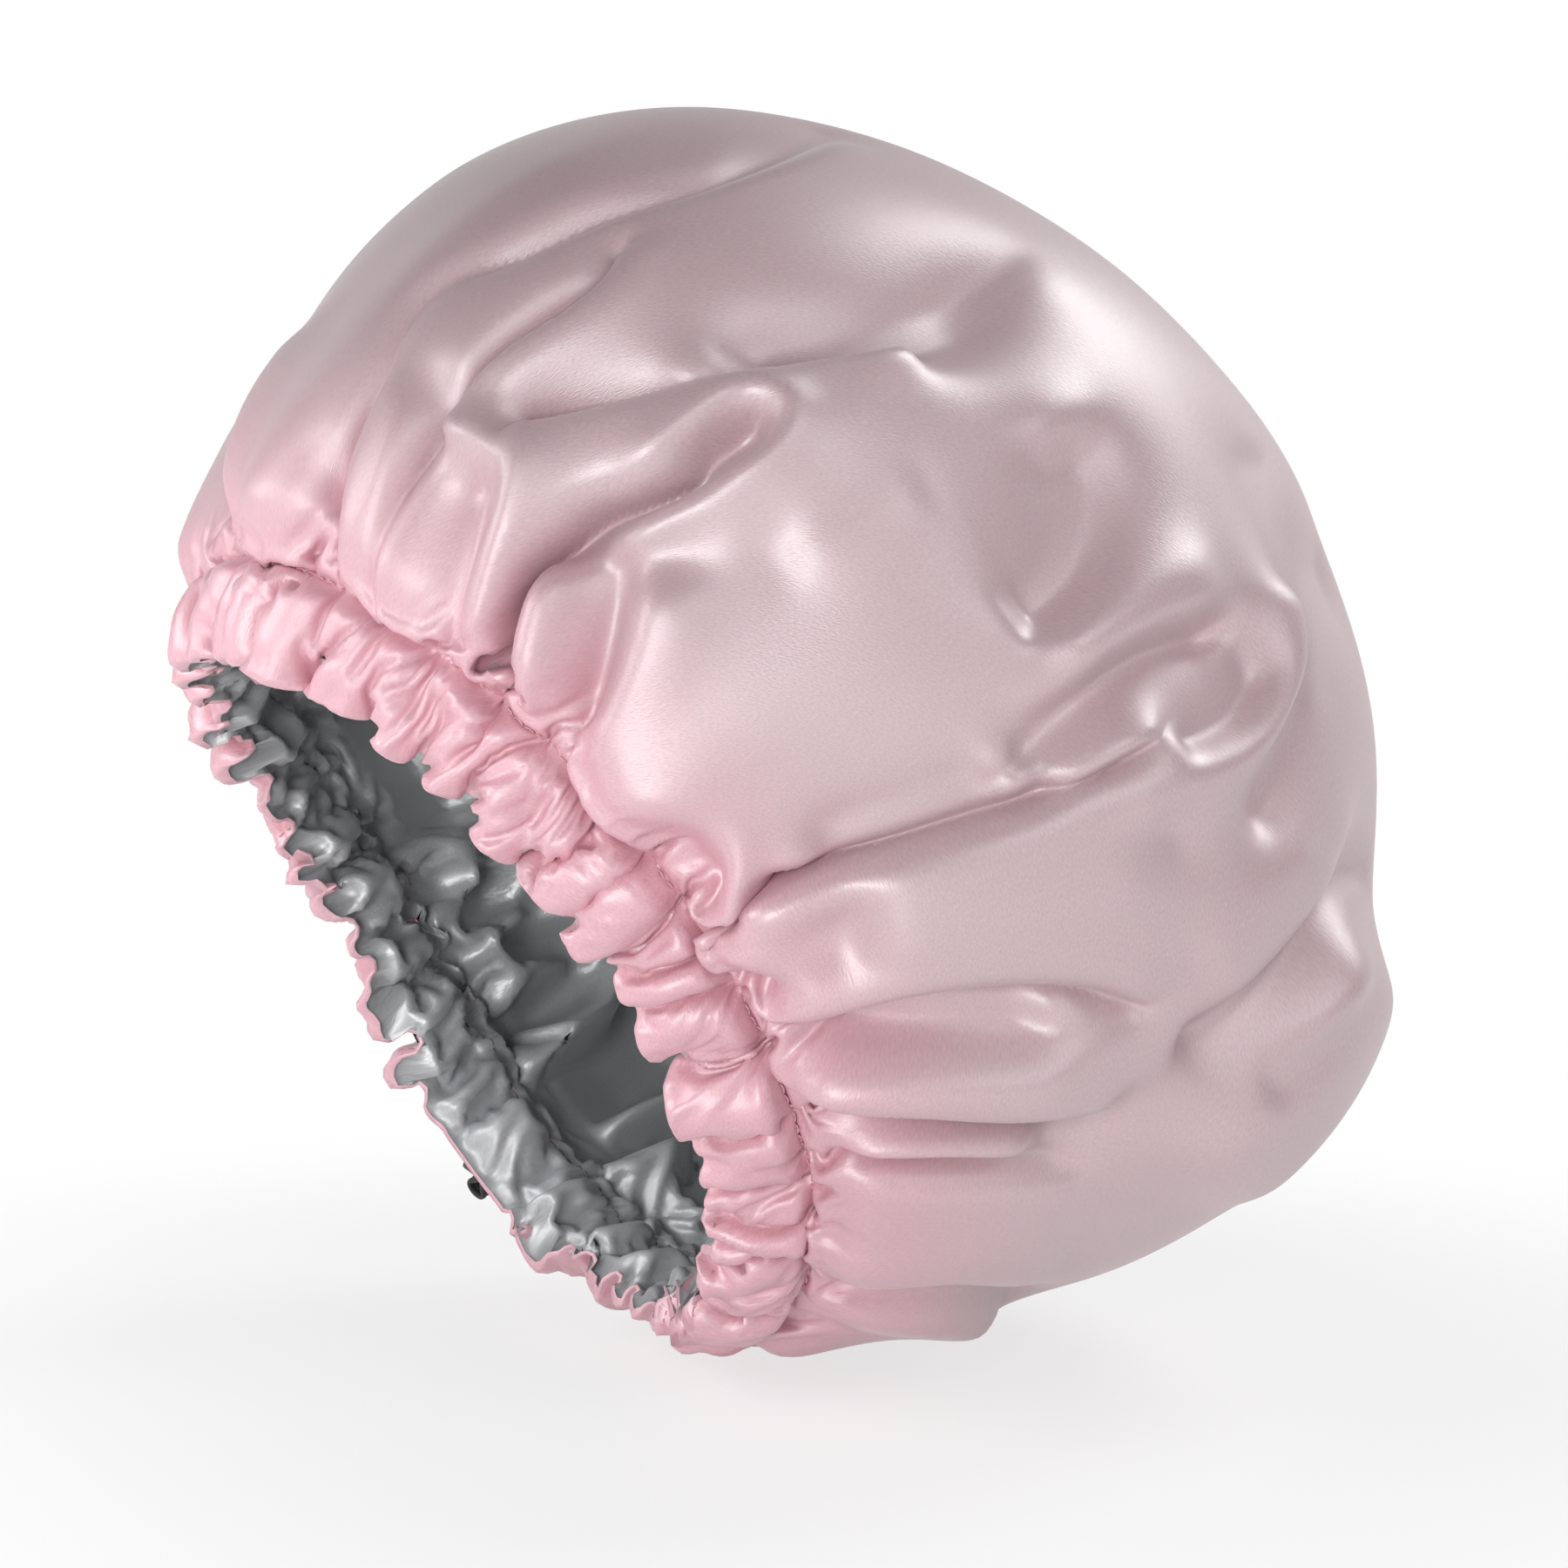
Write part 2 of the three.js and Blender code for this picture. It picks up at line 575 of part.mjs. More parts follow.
// Elastic band: round the brim inside the casing, out of the slit in two strands, through the lock and
// round a bight, in one endless loop
function bandGeometry() {
  const frame = exitFrame();
  const axes = [0, 1, 2].map((k) => new THREE.Vector3().setFromMatrixColumn(frame, k));
  const stations = [];
  const exitPoint = new THREE.Vector3().setFromMatrixPosition(frame);
  const smallTurn = 0.01;
  const speed = casingPoint(exitTheta + smallTurn, casingMiddle).distanceTo(exitPoint) / smallTurn;
  const skip = exitReach / speed;
  const ringStart = exitTheta + skip;
  const ringStop = exitTheta + turn - skip;
  const pitch = turn / columns;
  const between = [];
  for (let k = Math.ceil(ringStart / pitch + 0.2); k * pitch < ringStop - 0.2 * pitch; k += 1) {
    between.push(k * pitch);
  }
  for (const theta of [ringStart, ...between, ringStop]) {
    stations.push({ point: casingPoint(theta, casingMiddle), first: edgeward(theta) });
  }
  const ringEnd = stations.at(-1).point.clone().sub(exitPoint).dot(axes[1]);
  const side = Math.sign(ringEnd);
  const half = [];
  const bendSteps = 5;
  const bendCentre = strandPitch / 2 + exitBend;
  for (let k = 0; k <= bendSteps; k += 1) {
    const angle = (quarter * k) / bendSteps;
    half.push([bendCentre - exitBend * Math.sin(angle), exitBend * (1 - Math.cos(angle))]);
  }
  half.push([strandPitch / 2, lockHeight]);
  const bight = new THREE.CatmullRomCurve3([
    new THREE.Vector3(strandPitch / 2, bightStart - 1, 0),
    new THREE.Vector3(strandPitch / 2, bightStart, 0),
    new THREE.Vector3(1.6, bightStart + 0.3 * bightHeight, 0),
    new THREE.Vector3(2.6, bightStart + 0.6 * bightHeight, 0),
    new THREE.Vector3(1.9, bightStart + 0.88 * bightHeight, 0),
    new THREE.Vector3(0, bightStart + bightHeight, 0),
    new THREE.Vector3(-1.9, bightStart + 0.88 * bightHeight, 0),
  ]);
  const bightSteps = 18;
  const crest = 5 / 6;
  for (let k = 1; k < bightSteps; k += 1) {
    const point = bight.getPoint((crest * k) / bightSteps);
    half.push([point.x, point.y]);
  }
  const outward = half.map(([y, z]) => [side * y, z]);
  const back = half.map(([y, z]) => [-side * y, z]).reverse();
  for (const [y, z] of [...outward, [0, bightStart + bightHeight], ...back]) {
    stations.push({ point: new THREE.Vector3(0, y, z).applyMatrix4(frame), first: axes[0].clone() });
  }
  stations.forEach((station, k) => {
    const ahead = stations[(k + 1) % stations.length].point;
    const behind = stations[(k + stations.length - 1) % stations.length].point;
    const tangent = ahead.clone().sub(behind).normalize();
    station.second = new THREE.Vector3().crossVectors(tangent, station.first).normalize();
  });
  const halfWidth = bandWidth / 2;
  const halfThickness = bandThickness / 2;
  const section = [
    [-halfWidth, -halfThickness],
    [halfWidth, -halfThickness],
    [halfWidth, halfThickness],
    [-halfWidth, halfThickness],
  ];
  return sweptLoop(stations, section);
}

// Opening for both strands, through the outer layer of the casing
const slitHalfLength = bandWidth / 2 + 2 * runningGap;
const slitHalfWidth = strandPitch / 2 + exitBend - runningGap;

function outerShellGeometry() {
  const shell = clothShell((faces) => faces.outer + clothThickness, (faces) => faces.outer);
  const shape = roundedShape(slitHalfLength, slitHalfWidth, 1);
  const cutDepth = 2 * clothThickness + casingRoom;
  const settings = { depth: cutDepth, bevelEnabled: false, curveSegments: 2 };
  const cutter = new THREE.ExtrudeGeometry(shape, settings);
  cutter.translate(0, 0, tubeHalf - casingRoom).applyMatrix4(exitFrame());
  return geometryFrom(solidOf(shell).subtract(solidOf(faceOutwards(indexed(cutter)))));
}

function indexed(geometry) {
  const bare = geometry.clone();
  bare.deleteAttribute("normal");
  bare.deleteAttribute("uv");
  return mergeVertices(bare, 1e-4);
}

// Stitched rim of the slit, seated on the outer layer
function buttonholeGeometry() {
  const shape = roundedShape(slitHalfLength + buttonholeRim, slitHalfWidth + buttonholeRim, 1.6);
  shape.holes.push(roundedShape(slitHalfLength, slitHalfWidth, 1));
  const options = { depth: buttonholeHeight, bevelEnabled: false, curveSegments: 4 };
  return new THREE.ExtrudeGeometry(shape, options).translate(0, 0, tubeHalf + clothThickness + seatGap);
}

function named(name, geometry, material) {
  const mesh = new THREE.Mesh(geometry, material);
  mesh.name = name;
  return mesh;
}

const stitchRow = rows.find((row) => row.kind === "stitch");
const edgeRow = rows[0];
const threadSeat = seatGap + threadDiameter / 2;
const onOuter = (faces) => faces.outer + clothThickness + threadSeat;
const onLining = (faces) => faces.inner - clothThickness - threadSeat;
const betweenLayers = (faces) => (faces.outer + faces.inner) / 2;

const cap = new THREE.Group();
cap.rotation.x = -degToRad(brimTilt);
cap.add(named("outer_shell", outerShellGeometry(), satinPink));
const liningGeometry = clothShell((faces) => faces.inner, (faces) => faces.inner - clothThickness);
cap.add(named("lining", liningGeometry, satinGrey));
cap.add(named("elastic_band", bandGeometry(), elasticBlack));
cap.add(named("channel_stitch_outer", threadRing((k) => layerPoint(stitchRow, k, onOuter)), threadPink));
cap.add(named("channel_stitch_inner", threadRing((k) => layerPoint(stitchRow, k, onLining)), threadGrey));
cap.add(named("edge_seam", threadRing((k) => layerPoint(edgeRow, k, betweenLayers)), threadPink));

const exit = new THREE.Group();
exit.applyMatrix4(exitFrame());
exit.add(named("exit_buttonhole", buttonholeGeometry(), threadPink));
cap.add(exit);

const lock = new THREE.Group();
lock.position.z = lockHeight;
lock.add(named("lock_barrel", barrelGeometry(), plasticGrey));
lock.add(named("lock_plunger", plungerGeometry(), plasticGrey));
lock.add(named("lock_spring", springGeometry(), springSteel));
exit.add(lock);

const model = new THREE.Group();
model.add(cap);

export default model;
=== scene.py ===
"""Looks of the satin cap: gathered double-layer cloth, elastic band, stitching and cord lock."""

import math

import bpy
import numpy as np
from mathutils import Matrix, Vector

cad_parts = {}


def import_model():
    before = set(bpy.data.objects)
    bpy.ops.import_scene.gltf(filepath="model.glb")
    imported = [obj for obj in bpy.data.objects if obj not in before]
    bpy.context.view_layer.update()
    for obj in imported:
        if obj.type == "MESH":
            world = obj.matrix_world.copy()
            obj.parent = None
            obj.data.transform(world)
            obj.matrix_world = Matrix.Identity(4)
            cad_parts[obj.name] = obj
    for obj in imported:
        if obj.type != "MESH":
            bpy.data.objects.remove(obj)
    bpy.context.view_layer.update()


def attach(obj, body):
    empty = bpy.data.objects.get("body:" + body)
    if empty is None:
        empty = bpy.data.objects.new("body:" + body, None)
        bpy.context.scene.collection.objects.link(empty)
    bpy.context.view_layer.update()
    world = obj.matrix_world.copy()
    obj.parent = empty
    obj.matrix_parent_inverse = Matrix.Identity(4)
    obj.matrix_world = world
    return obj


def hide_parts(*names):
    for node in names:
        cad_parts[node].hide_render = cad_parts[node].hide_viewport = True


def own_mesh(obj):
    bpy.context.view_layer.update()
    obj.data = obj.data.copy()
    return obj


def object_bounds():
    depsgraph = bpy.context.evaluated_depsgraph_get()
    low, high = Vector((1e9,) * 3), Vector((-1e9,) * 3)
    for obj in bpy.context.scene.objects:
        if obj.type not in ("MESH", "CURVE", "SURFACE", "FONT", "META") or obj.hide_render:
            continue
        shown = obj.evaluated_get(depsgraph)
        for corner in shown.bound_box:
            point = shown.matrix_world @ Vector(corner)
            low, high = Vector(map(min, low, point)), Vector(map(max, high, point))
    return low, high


MM = 0.001
SEED = 11
TURN = 2 * math.pi

# Shape of the cap, as in the part: millimetres and degrees, in a frame that lies on the brim
BRIM_TILT = 56.5
OPENING_HALF_DEPTH = 96.0
OPENING_HALF_WIDTH = 75.0
SADDLE_RISE = 10.5
CASING_WIDTH = 23.0
CASING_LEAN = 36.0
CROWN_HALF_DEPTH = 157.0
CROWN_HALF_WIDTH = 134.0
EQUATOR_HEIGHT = 116.0
CROWN_RISE = 131.0
CROWN_DRIFT = 0.06
BAG_FULLNESS = 1.67
CROWN_FULLNESS = 1.84
EXIT_ANGLE = -50.0
EXIT_FLARE = 28.0
EXIT_FLAT = 10.0
EXIT_FADE = 26.0

# Elastic band, its way out of the casing and the lock on it, as in the part
BAND_WIDTH = 9.0
BAND_THICKNESS = 1.2
STRAND_PITCH = 1.5
EXIT_BEND = 2.2
EXIT_REACH = 9.0
LOCK_HEIGHT = 8.7
BIGHT_START = 18.4
BIGHT_HEIGHT = 7.0
SLIT_HALF_LENGTH = 5.1
SLIT_HALF_WIDTH = 2.65
RIM_WIDTH = 1.3
RIM_SEAT = 2.1
RIM_HEIGHT = 0.7
SPRING_BOTTOM = -8.55
SPRING_LENGTH = 5.2
SPRING_RADIUS = 2.1
SPRING_WIRE = 0.4
SPRING_TURNS = 3.5

# Camera, fitted to the outline of the cap in the photograph
PHOTO_SIZE = 1800
LENS = 100.0
SENSOR = 36.0
VIEW_AZIMUTH = 59.42
VIEW_ELEVATION = 5.34
VIEW_DISTANCE = 1044.2
VIEW_UP_CROWN = 100.0
VIEW_RIGHT = 6.94
VIEW_UP = -10.96

# Paper backdrop: radius and height in metres, span in degrees, and the share of the span in which
# its white fades in from each end
BACKDROP_RADIUS = 1.6
BACKDROP_HEIGHT = 1.4
BACKDROP_SPAN = 150.0
BACKDROP_POINTS = 41
BACKDROP_FADE = 0.3

# Paper floor in metres: it shows partly white at its centre and wholly white further out
FLOOR_HALF = 3.0
FLOOR_CENTRE = 0.09
FLOOR_FADE = (0.15, 0.36)
FLOOR_WHITE = 0.7
PAPER = (0.9, 0.9, 0.9, 1)
PAPER_ROUGHNESS = 0.9

# Lamps: metres from the target to the camera's right, up and back, size in metres and watts; the
# floor lamp hangs at its height straight over a place on the floor
WORLD_LEVEL = 0.15
LAMP_TARGET = (0.0, 0.09, 0.05)
LAMPS = [
    ("key", (-0.35, -0.1, 1.2), 0.5, 7),
    ("side", (0.9, 1.1, -0.5), 0.7, 9),
    ("fill", (0.75, 0.5, 0.9), 0.8, 3.5),
]
FLOOR_LAMP = ("floor", (-0.5, 0.32, 0.2), 0.4, 2.5)

# Looks: colours, roughness with index of refraction for each satin, and sizes in metres; each satin's brim
# colour is a painted tone
PINK_CROWN = (0.58, 0.41, 0.44)
# Deeper pink at the brim: painted shade, standing for light bounced between and through the gathers
PINK_BRIM_PAINTED_BOUNCE = (0.74, 0.38, 0.45)
PINK_SHINE = (0.44, 2.5)
GREY_CROWN = (0.36, 0.37, 0.385)
# Lighter grey at the brim: painted light where light falls in at the opening; the darker crown grey is
# painted shade deep inside
GREY_BRIM_PAINTED_LIGHT = (0.46, 0.47, 0.485)
GREY_SHINE = (0.38, 2.6)
SATIN_SHEEN = 0.15
SATIN_SPREAD = 0.45
SHEEN_ROUGHNESS = 0.4
PLAIN_IOR = 1.5
# How far in metres the crown's colour blends into the brim's painted tone
PAINTED_TONE_BLEND = 0.058
WEAVE = (700, 2400, 1)
WEAVE_SHADE = (0.86, 1.08)
WEAVE_RELIEF = 0.4
RELIEF_DEPTH = 0.0002
NOISE_SPAN = (0.3, 0.7)
SHARP_EDGE = 32.0

# Ribs of the elastic: their number and depth in mm
BAND_RIBS = 6
RIB_DEPTH = 0.22

# Stitches: pitch, length and radius of the thread in mm; then the sides of round sections
CHANNEL_STITCH = (3.2, 2.6, 0.25)
EDGE_STITCH = (3.0, 2.6, 0.2)
RIM_STITCH_PITCH = 0.55
RIM_STITCH_RADIUS = 0.27
THREAD_SIDES = 6
WIRE_SIDES = 10

# Cloth grid: its size, where it is finer, and how deep in mm the slit cuts through it
COLUMNS = 640
CASING_ROWS = 16
BAG_ROWS = 68
CROWN_ROWS = 70
CROWN_STOP = 2.97
FINE_SIDE = 100.0
FINER = 0.4
SLIT_REACH = 6.0

# Each layer is cut as a rounded oval: the middle of the cut in its flat UVs
CUT_CENTRE = 0.5

# Distances in mm on the flat cloth: at the crown's tip, for each step of the turned edge, and from the
# stitch line to the end of the brim's painted tone
CROWN_TIP = 8
TURNED_STEP = 0.7
SEAM_MARGIN = 5

# Gathers of the brim: waves round the cap and their sizes in mm
GATHER_WAVES = range(24, 64)
LINING_WAVES = range(14, 40)
WARP_WAVES = (range(5, 14), range(9, 24))
WAVE_LIMIT = 1.8
EDGE_RUFFLE = 4.6
CASING_PUFF = 3.2
PUFF_LIFT = 1.2
STITCH_PUCKER = 1.8
EDGE_SCALLOP = 1.8
GATHER_SLANT = 1.6
GATHER_WARP = 0.03
OVERHANG = 4.0
OVERHANG_WAVES = range(8, 22)
OVERHANG_UNEVEN = 0.6
GATHER_SWAY = 1.4
BAND_HALF_GAP = 0.9
LAYER_HALF_GAP = 0.3
EDGE_HALF_GAP = 0.35
EXIT_SEAT = 1.6
HEM_GAP = 0.2
HEM_DROP = 0.6

# Calm cloth where the band comes out: degrees of calm and of fade to each side, reach up the cloth in
# mm, share of the extra cloth that is left out there, and how firmly it holds its place
CALM_FLAT = 6.5
CALM_FADE = 5.0
CALM_CLIMB = 40
CALM_SHARE = 0.7
CALM_HOLD = 0.5

# Pleats above the stitch line: waves round the cap, height in mm and reach up the bag in mm
PLEATS = [(GATHER_WAVES, 1.2, 8.0), (range(14, 30), 1.8, 24.0)]

# Cloth per length of the ring, at distances in mm up from the stitch line
FULLNESS_CLIMB = [-23, 0, 18, 45, 105, 320]
FULLNESS = [1.5, 1.4, 1.2, 1.05, 1.0, 1.0]

# Room of the cloth inside and outside the smooth cap, in mm, and where the elastic lies in the casing
INNER_ROOM = 20.0
OUTER_ROOM = 11.0
CASING_INNER_ROOM = 9.0
CASING_OUTER_ROOM = 12.0
LINING_ROOM = 36.0
BAND_LEVELS = (0.22, 0.86)

# Gaps in mm that the lining keeps under the outer layer: beside the stitch line, further up, and how
# much less that is on the near side
CLOSE_GAP = 0.6
ROOF_GAP = 3.5
ROOF_EASE = 1.3

# Settling: passes, shares of each move that are made, levels of each layer with how firmly they hold
# their places, and how firmly the layers keep to their heights
SETTLE_PASSES = 60
CARRY = 0.8
LINK_PULL = 0.8
SHEAR_PULL = 0.12
BEND_PULL = 0.15
ROOM_PUSH = 0.3
OUTER_HOLD = (
    [0, 0.2, 0.5, 0.85, 1, 1.03, 1.06, 2.8, 2.95],
    [0.01, 0.01, 0.02, 0.03, 0.3, 0.15, 0, 0, 0.3],
)
LINING_HOLD = ([0, 0.5, 1, 1.06, 2.8, 2.95], [0, 0.02, 0.02, 0, 0, 0.3])
OUTER_AIM = 0.3
LINING_AIM = 0.1

# Low swells of the crown: waves round it, mm up the cloth per radian, and size in mm, with more behind
DENT_WAVES = range(2, 9)
DENT_LENGTHS = (26, 60)
DENT_SIZE = 1.0
BACK_DENTS = 1.5

# How the fold lines shape the cloth: counts and factors, reach and slide in mm, widths in pixels
FOLD_PASSES = 500
PATH_STEPS = 16
PIN_START = 4
OUTER_BLUR = 3
LINING_BLUR = 4
ROUNDING = 3
FOLD_REACH = 17.0
FOLD_SCALE = 1.4
LINING_SCALE = 2.3
PIN_GRIP = 3.0
STEP_HALF = 7
OVERLAP = 4.0
OVERLAP_WIDTH = 16
SHARP, PLAIN, BROAD = 5, 8, 18

# Folds that the photograph shows, as lines in pixels of its 1800 by 1800 frame. A step is an edge
# where one fold lies over the next: heights in mm out of the smooth cap beside the line, low and high,
# shares of them at the start and at the end, and points; the high side is on the left hand
FOLD_STEPS = [
    # Forehead: lobes that lie over each other like shingles
    (-10, 5, 0.2, 1.0, [(955, 158), (800, 218), (690, 256), (600, 302), (521, 342), (486, 380),
                        (463, 429), (437, 482), (414, 540), (411, 600), (413, 660), (420, 715)]),
    (-8, 4, 0.5, 1.0, [(330, 400), (290, 470), (275, 536), (280, 589), (296, 638), (315, 680)]),
    (-9, 5, 1.0, 0.3, [(374, 690), (381, 645), (380, 607), (376, 562), (384, 520)]),
    (-7, 5, 0.2, 1.0, [(560, 452), (512, 518), (486, 560), (468, 612), (457, 674), (451, 745)]),
    # Crooked ridge
    (-8, 8, 0.6, 1.0, [(722, 292), (702, 330), (672, 360), (625, 393), (579, 428), (548, 469), (535, 500)]),
    # Edge under the long valley and the deep crease
    (-7, 5, 0.3, 1.0, [(1040, 398), (950, 414), (870, 433), (780, 455), (691, 480), (606, 502)]),
    (-18, 7, 1.0, 0.5, [(571, 790), (571, 745), (574, 719), (584, 679), (602, 643), (634, 609),
                        (658, 588), (691, 572), (745, 560), (800, 542)]),
    # Long folds of the near side, from the upper one down
    (-11, 4, 1.0, 0.6, [(735, 1038), (807, 1042), (875, 1033)]),
    (-12, 6, 0.4, 1.0, [(1347, 847), (1294, 887), (1236, 916), (1169, 945), (1102, 967),
                        (1012, 996), (950, 1012), (883, 1030)]),
    (-13, 6, 1.0, 0.4, [(790, 1140), (834, 1148), (914, 1152), (968, 1148), (1030, 1137),
                        (1102, 1128), (1191, 1124), (1258, 1130), (1312, 1148)]),
    (-17, 8, 0.8, 0.7, [(850, 1196), (890, 1212), (946, 1228), (1012, 1250), (1057, 1262),
                        (1102, 1270), (1160, 1274), (1260, 1270)]),
    (-9, 4, 0.5, 1.0, [(1220, 1356), (1124, 1352), (1057, 1346), (980, 1330), (940, 1340)]),
    (-6, 5, 0.8, 0.5, [(1170, 1512), (1102, 1506), (1012, 1496), (946, 1480), (884, 1462)]),
]

# Ridges and valleys: height in mm at the start and at the end, width in pixels, and points
FOLD_LINES = [
    # Forehead
    (2, 5, BROAD, [(800, 165), (680, 215), (560, 290), (470, 390), (410, 480), (350, 570), (330, 640)]),
    (5, 6, SHARP, [(479, 455), (474, 520), (464, 585), (452, 645), (441, 715)]),
    (3, 4, BROAD, [(690, 300), (620, 340), (560, 400), (520, 460)]),
    # Crooked ridge from its elbow on
    (9, 8, SHARP, [(535, 500), (556, 513), (590, 526), (611, 536)]),
    (8, 8, SHARP, [(611, 536), (600, 562), (586, 610), (572, 670), (560, 730), (553, 790)]),
    (-3, -2, PLAIN, [(556, 560), (543, 640), (528, 720)]),
    # Long valley and the finger fold under it
    (-9, -7, BROAD, [(1200, 305), (1079, 352), (989, 382), (900, 402), (800, 424)]),
    (7, 7, SHARP, [(735, 541), (794, 502), (825, 466), (848, 448), (880, 452), (899, 478), (890, 512),
                   (850, 545)]),
    (6, 3, PLAIN, [(850, 545), (800, 575), (750, 600), (716, 625)]),
    (-5, -5, PLAIN, [(868, 495), (835, 520), (790, 540)]),
    # Pouch beside the deep crease and the wide side of the cap
    (5, 5, SHARP, [(612, 770), (611, 690), (616, 662), (628, 654), (640, 668), (637, 700), (624, 790)]),
    (-4, -7, PLAIN, [(712, 640), (705, 700), (685, 770), (655, 850)]),
    (4, 4, BROAD, [(770, 650), (755, 740), (725, 830), (690, 880)]),
    (2, 2, BROAD, [(900, 640), (980, 600), (1060, 560)]),
    (-6, -6, BROAD, [(1222, 480), (1250, 570), (1228, 660), (1160, 720)]),
    # Bump beside the casing
    (4, 4, PLAIN, [(640, 965), (655, 915), (700, 887), (750, 890), (800, 915), (840, 965), (866, 1030)]),
    (0, -2, PLAIN, [(688, 915), (690, 962)]),
    (-4, -5, PLAIN, [(690, 992), (760, 988), (825, 1010)]),
    # Near side
    (-5, -4, BROAD, [(915, 985), (1000, 958), (1090, 925), (1160, 890)]),
    (5, 4, SHARP, [(767, 1092), (834, 1074), (879, 1072), (923, 1097), (950, 1132)]),
    (-3, -3, PLAIN, [(800, 1105), (850, 1108), (900, 1115)]),
    (6, 3, BROAD, [(980, 1065), (1080, 1050), (1220, 1020), (1350, 970)]),
    (-6, -4, BROAD, [(880, 1175), (1000, 1180), (1120, 1172), (1220, 1168)]),
    (8, 6, BROAD, [(825, 1177), (879, 1195), (946, 1210), (1012, 1228), (1102, 1238), (1200, 1232),
                   (1330, 1200)]),
    (6, 5, SHARP, [(888, 1314), (950, 1322), (1012, 1314), (1079, 1308), (1180, 1306)]),
    (3, 3, BROAD, [(960, 1410), (1080, 1425), (1230, 1430)]),
    # Right side: valley with its loop, and the bands by the outline
    (3, 3, BROAD, [(1200, 770), (1270, 718), (1340, 684), (1408, 665)]),
    (-4, -8, PLAIN, [(1135, 912), (1224, 828), (1326, 755), (1415, 722)]),
    (2, 4, PLAIN, [(1230, 905), (1286, 866), (1335, 845)]),
    (3, 4, PLAIN, [(1477, 688), (1481, 749), (1461, 806), (1429, 851), (1367, 884), (1300, 918)]),
    (-4, -3, PLAIN, [(1430, 735), (1450, 782), (1426, 825), (1372, 852)]),
    (-3, -5, PLAIN, [(1441, 529), (1465, 586), (1486, 639), (1502, 700), (1510, 769), (1492, 851),
                     (1461, 937)]),
    (-4, -3, PLAIN, [(1526, 651), (1532, 708), (1530, 790)]),
    (-6, -6, PLAIN, [(1565, 1000), (1500, 1095), (1420, 1178), (1370, 1205)]),
    (3, 3, PLAIN, [(1580, 1060), (1520, 1150), (1440, 1230)]),
    (2, 2, BROAD, [(1520, 960), (1450, 1060), (1380, 1130)]),
    (8, 8, BROAD, [(1560, 1060), (1530, 1140), (1480, 1220), (1420, 1290), (1340, 1360)]),
]

# Folds of the lining that show through the opening, in the same form; inwards is negative
LINING_LINES = [
    (-10, -8, PLAIN, [(428, 1016), (467, 991), (496, 959), (524, 930), (560, 901)]),
    (6, 6, PLAIN, [(381, 909), (421, 912), (449, 930), (464, 944)]),
    (-7, -5, PLAIN, [(446, 851), (453, 887), (462, 905)]),
    (6, 6, PLAIN, [(403, 862), (420, 890)]),
    (-8, -8, PLAIN, [(460, 1009), (481, 1051), (474, 1084)]),
    (7, 7, PLAIN, [(442, 1030), (442, 1101)]),
    (7, 7, PLAIN, [(496, 1001), (503, 1080)]),
    (-8, -8, BROAD, [(542, 959), (546, 1023), (556, 1066)]),
    (7, 7, PLAIN, [(581, 980), (592, 1037), (603, 1066)]),
    (-10, -10, PLAIN, [(506, 1094), (546, 1080), (589, 1076), (635, 1101)]),
    (7, 7, SHARP, [(539, 1123), (581, 1121), (635, 1119)]),
    (-9, -9, PLAIN, [(520, 1148), (552, 1140), (622, 1128)]),
    (6, 7, SHARP, [(526, 1162), (552, 1194), (569, 1210)]),
    (6, 7, SHARP, [(638, 1127), (611, 1162), (574, 1199)]),
    (-8, -11, PLAIN, [(690, 1100), (681, 1148), (673, 1189), (644, 1213), (590, 1226)]),
    (7, 7, PLAIN, [(694, 1127), (689, 1180), (668, 1221), (633, 1258)]),
    (7, 5, PLAIN, [(611, 1293), (665, 1290), (721, 1277), (783, 1261)]),
    (-6, -8, PLAIN, [(690, 1310), (748, 1300), (790, 1290)]),
    (6, 6, PLAIN, [(662, 1339), (721, 1341), (769, 1330)]),
    (-8, -8, PLAIN, [(678, 1379), (721, 1371), (751, 1352)]),
]

# Folds that the photograph doesn't show: start in mm up from the stitch line, half width in mm, sway in
# radians round the cap, mm up the cloth per radian of its wave, and the share of height lost on the way
FAR_START = 6
FAR_HALF = 2.0
FAR_SWAY = 0.02
FAR_SWAY_LENGTH = 17
FAR_LOSS = 0.6

# Those of the sides: places at the brim and at the tip in degrees round the cap, reach up the cloth in
# mm and height out of the smooth cap in mm
FAR_FOLDS = [
    (8, 5, 110, -8), (-1, -4, 70, 5), (-8, -12, 100, 6), (-21, -18, 115, -8), (-29, -31, 80, 5),
    (-66, -64, 80, 5), (-73, -71, 95, 6), (-80, -76, 120, -9), (-92, -95, 100, 6), (-99, -98, 70, 4),
    (-104, -101, 130, -9), (-112, -114, 75, 4), (-118, -122, 95, 6), (-131, -128, 120, -9),
    (-139, -140, 70, 4), (-146, -150, 105, 6), (-155, -158, 80, -4), (-162, -167, 90, -7),
    (-170, -172, 80, 4), (-176, -179, 110, 5),
]

# Long slack folds over the back of the crown, in the same form
BACK_FOLDS = [
    (-15, -62, 250, -7), (-36, -70, 210, 5), (-58, -100, 245, 6), (-86, -118, 225, -7),
    (-110, -85, 260, 5), (-124, -160, 235, -7), (-150, -128, 255, 6), (-172, -205, 240, -6),
    (-196, -168, 225, 5), (4, -22, 230, 5),
]

# Those of the lining: their number and size in mm, and how far in mm the whole lining sinks in
LINING_FOLDS = 30
LINING_FOLD_SIZE = 14.0
LINING_SINK = 9.0


# Base shape of the cap

def smooth(value, low, high):
    step = np.clip((value - low) / (high - low), 0.0, 1.0)
    return step * step * (3 - 2 * step)


def unit(vectors):
    return vectors / np.maximum(np.linalg.norm(vectors, axis=-1, keepdims=True), 1e-9)


def near_exit(theta, flat, fade):
    turned = theta - math.radians(EXIT_ANGLE)
    away = np.abs(np.arctan2(np.sin(turned), np.cos(turned)))
    return 1 - smooth(away, math.radians(flat), math.radians(flat + fade))


